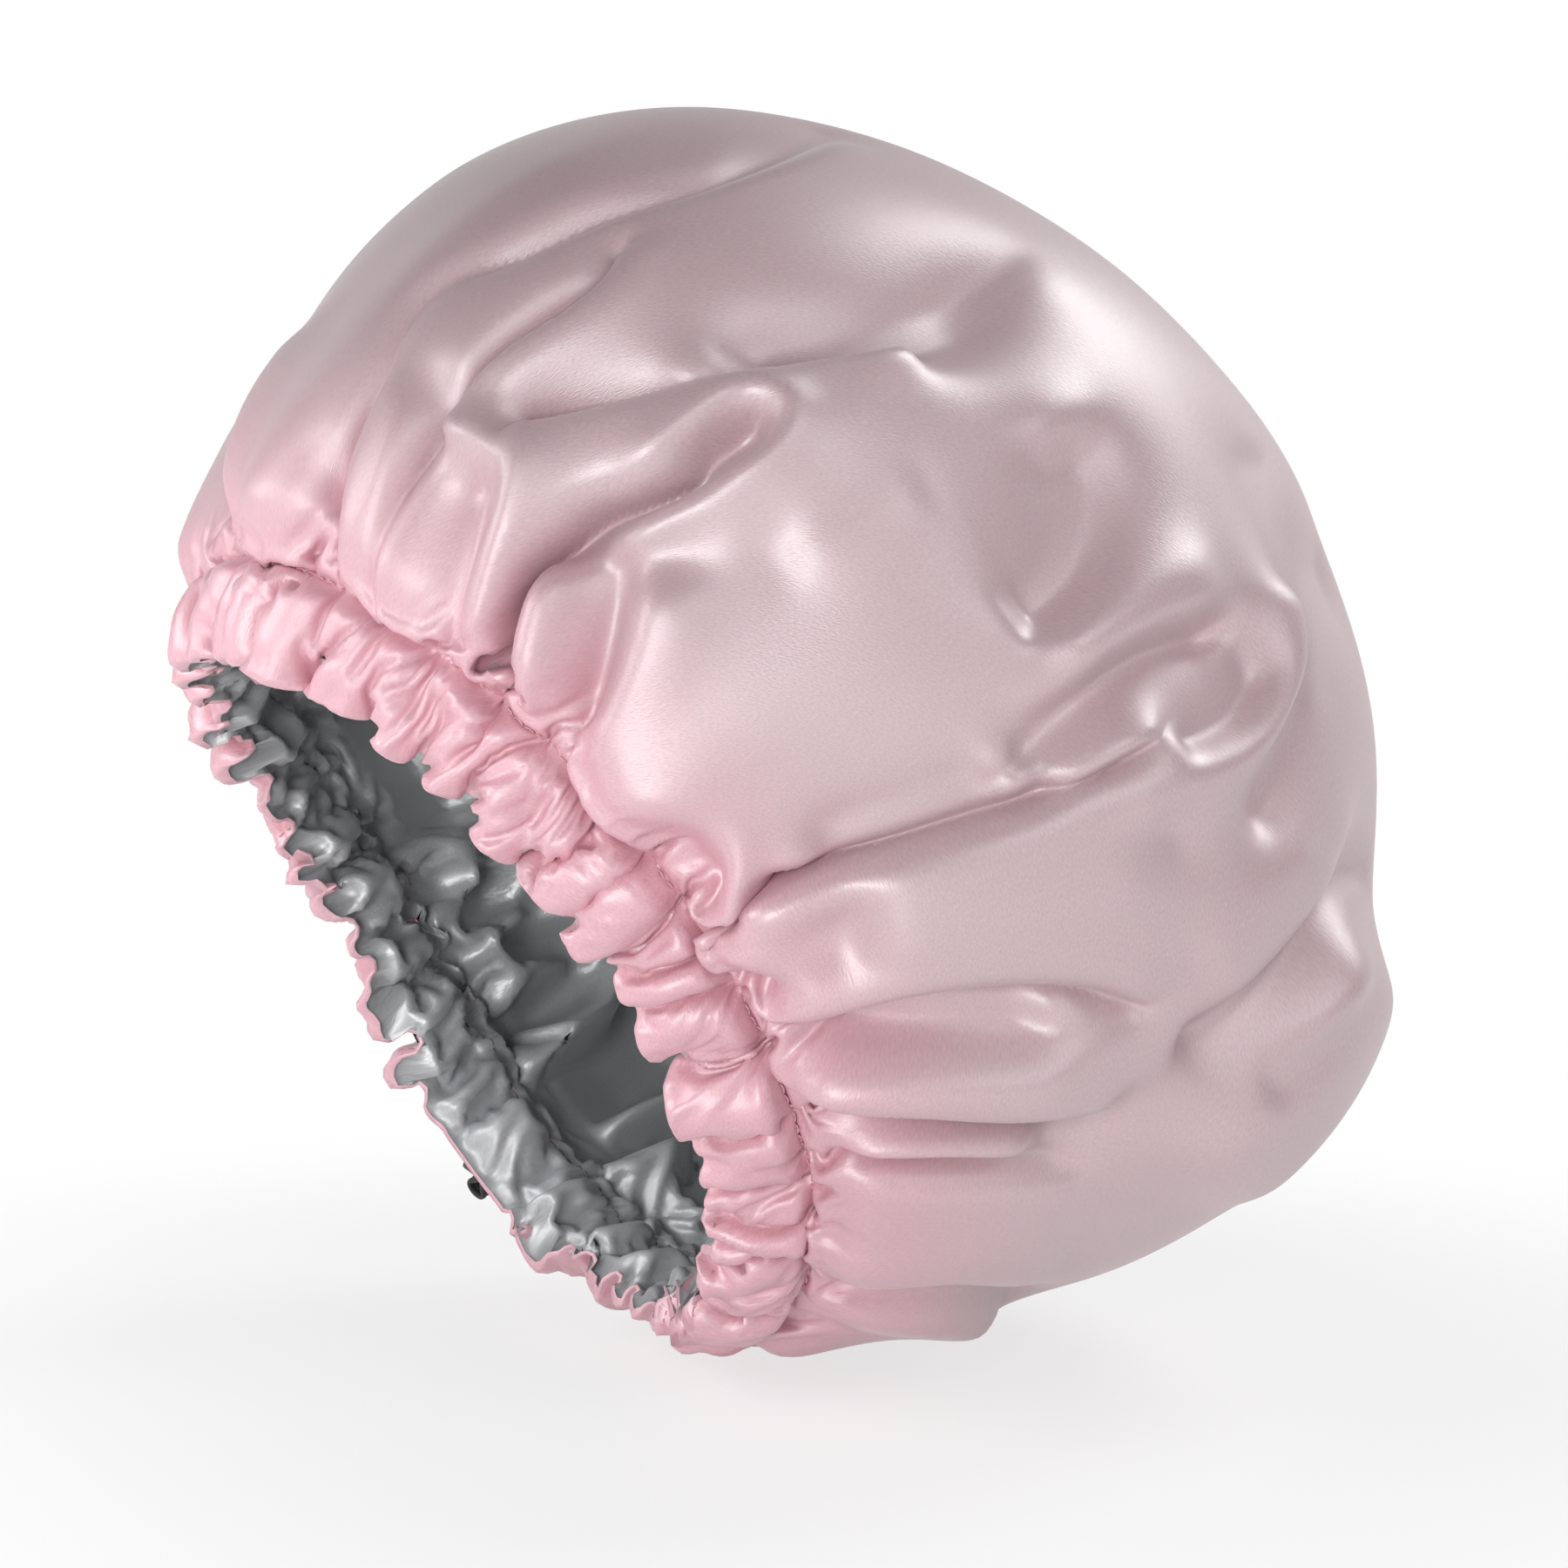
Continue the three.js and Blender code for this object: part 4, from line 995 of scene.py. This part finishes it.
def band_path():
    """The band's course: round the casing, out of the slit, through the lock and round the bight."""
    origin, edge, side, out = exit_frame()
    theta = math.radians(EXIT_ANGLE)
    speed = np.linalg.norm(cap_point(np.array(theta + 0.01), np.array(0.5)) - origin) / 0.01
    skip = EXIT_REACH / speed
    angles = np.linspace(theta + skip, theta + TURN - skip, 360)
    ring = cap_point(angles, np.full_like(angles, 0.5))
    hand = np.sign((ring[-1] - origin) @ side)
    bend = np.linspace(0, math.pi / 2, 10)
    centre = STRAND_PITCH / 2 + EXIT_BEND
    foot = np.stack([centre - EXIT_BEND * np.sin(bend), EXIT_BEND * (1 - np.cos(bend))], -1)
    rise = np.linspace(EXIT_BEND, BIGHT_START - 1, 14)[1:]
    straight = np.stack([np.full_like(rise, STRAND_PITCH / 2), rise], -1)
    knots = [(STRAND_PITCH / 2, BIGHT_START), (1.6, BIGHT_START + 0.3 * BIGHT_HEIGHT),
             (2.6, BIGHT_START + 0.6 * BIGHT_HEIGHT), (1.9, BIGHT_START + 0.88 * BIGHT_HEIGHT),
             (0.0, BIGHT_START + BIGHT_HEIGHT)]
    loop = smooth_path([*knots, *[(-y, z) for y, z in knots[-2::-1]]], 8)
    strand = np.concatenate([foot, straight])
    course = np.concatenate([strand, loop, strand[::-1] * [-1, 1]])
    course = origin + hand * course[:, :1] * side + course[:, 1:] * out
    stations = np.concatenate([ring, course])
    firsts = np.concatenate([edgeward(angles), np.tile(edge, (len(course), 1))])
    return stations, firsts


def band_section():
    """The ribbed section of the flat elastic."""
    across = np.linspace(-0.5, 0.5, BAND_RIBS * 6 + 1)
    ribs = RIB_DEPTH * np.abs(np.sin(across * BAND_RIBS * math.pi)) ** 0.7
    top = np.stack([across * BAND_WIDTH, BAND_THICKNESS / 2 - RIB_DEPTH + ribs], -1)
    return np.concatenate([top[::-1] * [1, -1], top])[::-1]


def buttonhole_stitches():
    """Close stitches across the rim of the slit."""
    origin, edge, side, out = exit_frame()
    long_half = SLIT_HALF_LENGTH + RIM_WIDTH / 2
    short_half = SLIT_HALF_WIDTH + RIM_WIDTH / 2
    straight = long_half - short_half
    places = []
    for x in np.arange(-straight, straight, RIM_STITCH_PITCH):
        places += [((x, short_half), (0, 1)), ((-x, -short_half), (0, -1))]
    for turn in np.arange(-math.pi / 2, math.pi / 2, RIM_STITCH_PITCH / short_half):
        way = np.array([math.cos(turn), math.sin(turn)])
        places += [((straight + short_half * way[0], short_half * way[1]), way)]
        places += [((-straight - short_half * way[0], -short_half * way[1]), -way)]
    share = np.linspace(-1, 1, 7)
    parts = []
    for spot, way in places:
        reach = np.outer(share * RIM_WIDTH / 2, way) + spot
        height = RIM_SEAT + RIM_HEIGHT * (0.15 + 0.45 * np.sqrt(1 - 0.9 * share**2))
        path = origin + reach[:, :1] * edge + reach[:, 1:] * side + height[:, None] * out
        parts.append(wire(path, np.tile(out, (len(path), 1)), RIM_STITCH_RADIUS, THREAD_SIDES))
    return joined(parts)


def spring_coil():
    """The spring behind the plunger, in the lock's place."""
    origin, edge, side, out = exit_frame()
    turns = np.linspace(0, SPRING_TURNS * TURN, int(SPRING_TURNS * 24))
    rise = SPRING_BOTTOM + SPRING_WIRE / 2 + (SPRING_LENGTH - SPRING_WIRE) * turns / turns[-1]
    around = np.cos(turns)[:, None] * edge + np.sin(turns)[:, None] * out
    path = origin + LOCK_HEIGHT * out + SPRING_RADIUS * around + rise[:, None] * side
    return wire(path, around, SPRING_WIRE / 2, WIRE_SIDES)


# Materials

def feed(tree, node, inputs):
    """Gives sockets of a shader node their constant values or the outputs that feed them."""
    for socket, value in inputs.items():
        if isinstance(value, bpy.types.NodeSocket):
            tree.links.new(value, node.inputs[socket])
        else:
            node.inputs[socket].default_value = value


def add_node(tree, kind, inputs, output=0, **settings):
    """One output of a new shader node."""
    node = tree.nodes.new("ShaderNode" + kind)
    for name, value in settings.items():
        setattr(node, name, value)
    feed(tree, node, inputs)
    return node.outputs[output]


def faded(tree, value, start, end, least=0.0):
    """A value that climbs softly from its least to 1 between two ends."""
    ends = {"Value": value, "From Min": start, "From Max": end, "To Min": least}
    return add_node(tree, "MapRange", ends, interpolation_type="SMOOTHSTEP")


def distance(tree, place, middle):
    return add_node(tree, "VectorMath", {0: place, 1: middle}, "Value", operation="DISTANCE")


def material(name, looks):
    """A material with these looks, its nodes and its shader."""
    made = bpy.data.materials.new(name)
    made.use_nodes = True
    shader = made.node_tree.nodes["Principled BSDF"]
    feed(made.node_tree, shader, {"IOR": PLAIN_IOR, **looks})
    return made, made.node_tree, shader


def mottled(name, dark, light, scale, bump, roughness, metallic=0.0):
    """A material whose colour and relief vary with a fine noise."""
    made, tree, shader = material(name, {"Roughness": roughness, "Metallic": metallic})
    place = add_node(tree, "TexCoord", {}, "Object")
    noise = add_node(tree, "TexNoise", {"Vector": place, "Scale": scale, "Detail": 3}, "Fac")
    tone = add_node(tree, "ValToRGB", {"Fac": noise})
    for stop, position, colour in zip(tone.node.color_ramp.elements, NOISE_SPAN, (dark, light)):
        stop.position = position
        stop.color = (*colour, 1)
    relief = add_node(tree, "Bump", {"Height": noise, "Strength": bump, "Distance": RELIEF_DEPTH})
    feed(tree, shader, {"Base Color": tone, "Normal": relief})
    return made


def satin(name, crown, brim, seam, roughness, ior):
    """Satin: long floats give a soft shine that spreads across the threads, over a woven grain; its colour
    turns from the crown's into the brim's painted tone towards the stitch line.
    """
    sheen = {"Sheen Weight": SATIN_SHEEN, "Sheen Roughness": SHEEN_ROUGHNESS}
    looks = {"Roughness": roughness, "IOR": ior, "Anisotropic": SATIN_SPREAD, **sheen}
    made, tree, shader = material(name, looks)
    cut = add_node(tree, "UVMap", {}, uv_map="cut")
    away = distance(tree, cut, (CUT_CENTRE, CUT_CENTRE, 0))
    # Painted tone: the crown colour blends into the brim colour by distance from the middle of the flat cut
    tones = {"Factor": faded(tree, away, seam - PAINTED_TONE_BLEND, seam), "A": (*crown, 1), "B": (*brim, 1)}
    tone = add_node(tree, "Mix", tones, "Result", data_type="RGBA")
    threads = add_node(tree, "Mapping", {"Vector": cut, "Scale": WEAVE})
    grain = add_node(tree, "TexNoise", {"Vector": threads, "Scale": 1.0, "Detail": 2}, "Fac")
    ends = zip(("From Min", "From Max", "To Min", "To Max"), (*NOISE_SPAN, *WEAVE_SHADE))
    shade = add_node(tree, "MapRange", {"Value": grain, **dict(ends)})
    woven = add_node(tree, "VectorMath", {0: tone, "Scale": shade}, operation="SCALE")
    depth = {"Strength": WEAVE_RELIEF, "Distance": RELIEF_DEPTH}
    relief = add_node(tree, "Bump", {"Height": grain, **depth})
    tangent = add_node(tree, "Tangent", {}, direction_type="UV_MAP", uv_map="cut")
    feed(tree, shader, {"Base Color": woven, "Normal": relief, "Tangent": tangent})
    return made


def dress(piece, finish):
    piece.data.materials.clear()
    piece.data.materials.append(finish)


# Stage

def aim_at(thing, place, target):
    thing.location = Vector(place)
    thing.rotation_mode = "QUATERNION"
    thing.rotation_quaternion = (Vector(target) - Vector(place)).to_track_quat("-Z", "Y")


def add_camera():
    place, _, _, back = camera_frame()
    data = bpy.data.cameras.new("camera")
    data.lens = LENS
    data.sensor_width = SENSOR
    camera = add_object("camera", data)
    aim_at(camera, place, place - back)
    bpy.context.scene.camera = camera


def add_light(name, place, target, size, power):
    data = bpy.data.lights.new(name, "AREA")
    data.shape = "DISK"
    data.size = size
    data.energy = power
    aim_at(add_object(name, data), place, target)


def direct_view(tree):
    """A value of 1 where a surface is seen straight, in a mirror or through glass, and 0 elsewhere."""
    seen = add_node(tree, "LightPath", {}, "Is Camera Ray")
    for kind in ("Is Glossy Ray", "Is Transmission Ray"):
        other = add_node(tree, "LightPath", {}, kind)
        seen = add_node(tree, "Math", {0: seen, 1: other}, operation="MAXIMUM")
    return seen


def show_white(tree, shader, *amounts):
    """Lets a surface in direct view show as white, by the product of amounts from 0 to 1."""
    white = direct_view(tree)
    for amount in amounts:
        white = add_node(tree, "Math", {0: amount, 1: white}, operation="MULTIPLY")
    glow = add_node(tree, "Emission", {"Color": (1, 1, 1, 1)})
    mixed = add_node(tree, "MixShader", {"Fac": white, 1: shader.outputs[0], 2: glow})
    feed(tree, tree.nodes["Material Output"], {"Surface": mixed})


def paper_piece(name, points, faces):
    """The mesh of a piece of the stage in pale paper, with its material's nodes and shader."""
    mesh = bpy.data.meshes.new(name)
    mesh.from_pydata(points, [], faces)
    made, tree, shader = material(name + "_pale", {"Roughness": PAPER_ROUGHNESS, "Base Color": PAPER})
    mesh.materials.append(made)
    add_object(name, mesh)
    return mesh, tree, shader


def add_world(level):
    studio = bpy.data.worlds.new("studio")
    studio.use_nodes = True
    bpy.context.scene.world = studio
    background = studio.node_tree.nodes["Background"]
    feed(studio.node_tree, background, {"Color": (1, 1, 1, 1), "Strength": level})


def add_backdrop(height):
    """A pale paper sweep that stands behind the cap and shows as the white background."""
    _, right, _, back = camera_frame()
    count = BACKDROP_POINTS
    turns = np.radians(np.linspace(-BACKDROP_SPAN / 2, BACKDROP_SPAN / 2, count))
    away = unit(-back * [1, 1, 0])
    foot = BACKDROP_RADIUS * (np.cos(turns)[:, None] * away + np.sin(turns)[:, None] * right)
    foot = foot + [0, 0, height]
    points = np.concatenate([foot, foot + [0, 0, BACKDROP_HEIGHT]])
    faces = [(k, k + 1, count + k + 1, count + k) for k in range(count - 1)]
    mesh, tree, shader = paper_piece("backdrop", points.tolist(), faces)
    layer = mesh.uv_layers.new(name="span")
    for loop in mesh.loops:
        layer.data[loop.index].uv = (loop.vertex_index % count / (count - 1), loop.vertex_index // count)
    along = add_node(tree, "SeparateXYZ", {0: add_node(tree, "UVMap", {}, uv_map="span")})
    first = faded(tree, along, 0, BACKDROP_FADE)
    last = faded(tree, along, 1, 1 - BACKDROP_FADE)
    show_white(tree, shader, first, last)


def add_floor(height):
    """A pale floor that takes the shadow and fades into the white background."""
    signs = ((-1, -1), (1, -1), (1, 1), (-1, 1))
    corners = [(x * FLOOR_HALF, y * FLOOR_HALF, height) for x, y in signs]
    _, tree, shader = paper_piece("floor", corners, [(0, 1, 2, 3)])
    place = add_node(tree, "TexCoord", {}, "Object")
    away = distance(tree, place, (0, FLOOR_CENTRE, height))
    show_white(tree, shader, faded(tree, away, *FLOOR_FADE, FLOOR_WHITE))


def add_studio(floor_height):
    bpy.context.scene.view_settings.view_transform = "Standard"
    add_world(WORLD_LEVEL)
    add_floor(floor_height)
    add_backdrop(floor_height)
    _, right, up, back = camera_frame()
    target = np.array(LAMP_TARGET)
    for name, (rightward, upward, backward), size, power in LAMPS:
        place = target + right * rightward + up * upward + back * backward
        add_light(name, place, target, size, power)
    name, (rightward, height, backward), size, power = FLOOR_LAMP
    below = (target + right * rightward + back * backward) * [1, 1, 0] + [0, 0, floor_height]
    add_light(name, below + [0, 0, height], below, size, power)


# Whole

def add_cloth():
    cap = smooth_cap()
    theta = cap["theta"][0]
    outer_grid = outer_cloth(cap)
    lining_grid = inner_cloth(cap, outer_grid)
    radii = cap["climb"].max() - cap["climb"][:, 0] + CROWN_TIP
    whole = turned_edge(theta, outer_grid, lining_grid)
    whole_radii = np.concatenate([[radii[0] + 2 * TURNED_STEP, radii[0] + TURNED_STEP], radii])
    # The brims get their painted tone from just past the stitch line: painted bounce shade on the pink,
    # painted light on the grey
    seam = (radii[CASING_ROWS] + SEAM_MARGIN) * MM
    pink = satin("satin_pink", PINK_CROWN, PINK_BRIM_PAINTED_BOUNCE, seam, *PINK_SHINE)
    grey = satin("satin_grey", GREY_CROWN, GREY_BRIM_PAINTED_LIGHT, seam, *GREY_SHINE)
    outer = cloth_object("satin_outer", whole, theta, whole_radii, True, "outer_shell")
    lining = cloth_object("satin_lining", lining_grid, theta, radii, False, "lining")
    dress(outer, pink)
    dress(lining, grey)
    add_stitching(outer_grid, lining_grid)


def add_stitching(outer_grid, lining_grid):
    pink = mottled("thread_pink", (0.55, 0.25, 0.31), (0.75, 0.42, 0.48), 900, 0.5, 0.6)
    grey = mottled("thread_grey", (0.13, 0.13, 0.14), (0.24, 0.24, 0.25), 900, 0.5, 0.6)
    outs = grid_normals(outer_grid)
    ins = -grid_normals(lining_grid)
    row = CASING_ROWS
    outer_row = stitch_row(outer_grid[row], outs[row], *CHANNEL_STITCH)
    lining_row = stitch_row(lining_grid[row], ins[row], *CHANNEL_STITCH)
    edge_row = stitch_row((outer_grid[1] + lining_grid[1]) / 2, outs[1], *EDGE_STITCH)
    rows = [
        ("stitches_outer", outer_row, "channel_stitch_outer", pink, "thread_outer"),
        ("stitches_lining", lining_row, "channel_stitch_inner", grey, "thread_lining"),
        ("stitches_edge", edge_row, "edge_seam", pink, "thread_outer"),
        ("buttonhole_rim", buttonhole_stitches(), "exit_buttonhole", pink, "thread_outer"),
    ]
    for name, (points, faces), node, finish, slot in rows:
        dress(mesh_object(name, to_world(points), faces, "cap", node), finish)


def add_band_and_lock():
    rubber = mottled("elastic_dark", (0.012, 0.012, 0.013), (0.03, 0.03, 0.032), 1500, 0.6, 0.65)
    plastic = mottled("lock_dark", (0.035, 0.036, 0.038), (0.05, 0.051, 0.054), 1100, 0.15, 0.42)
    steel = mottled("spring_bright", (0.55, 0.56, 0.57), (0.68, 0.69, 0.7), 1500, 0.1, 0.3, 1.0)
    points, faces = sweep(*band_path(), band_section(), True)
    band = mesh_object("elastic_ribbed", to_world(points), faces, "cap", "elastic_band")
    dress(band, rubber)
    for name in ("lock_barrel", "lock_plunger"):
        part = bpy.data.objects[name]
        part.data.polygons.foreach_set("use_smooth", [True] * len(part.data.polygons))
        part.data.set_sharp_from_angle(angle=math.radians(SHARP_EDGE))
        dress(part, plastic)
    points, faces = spring_coil()
    coil = mesh_object("spring_coil", to_world(points), faces, "lock", "lock_spring")
    dress(coil, steel)
    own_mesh(coil)


def main():
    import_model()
    add_camera()
    add_cloth()
    add_band_and_lock()
    visual_box = [list(corner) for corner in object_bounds()]
    add_studio(visual_box[0][2] - MM)


main()
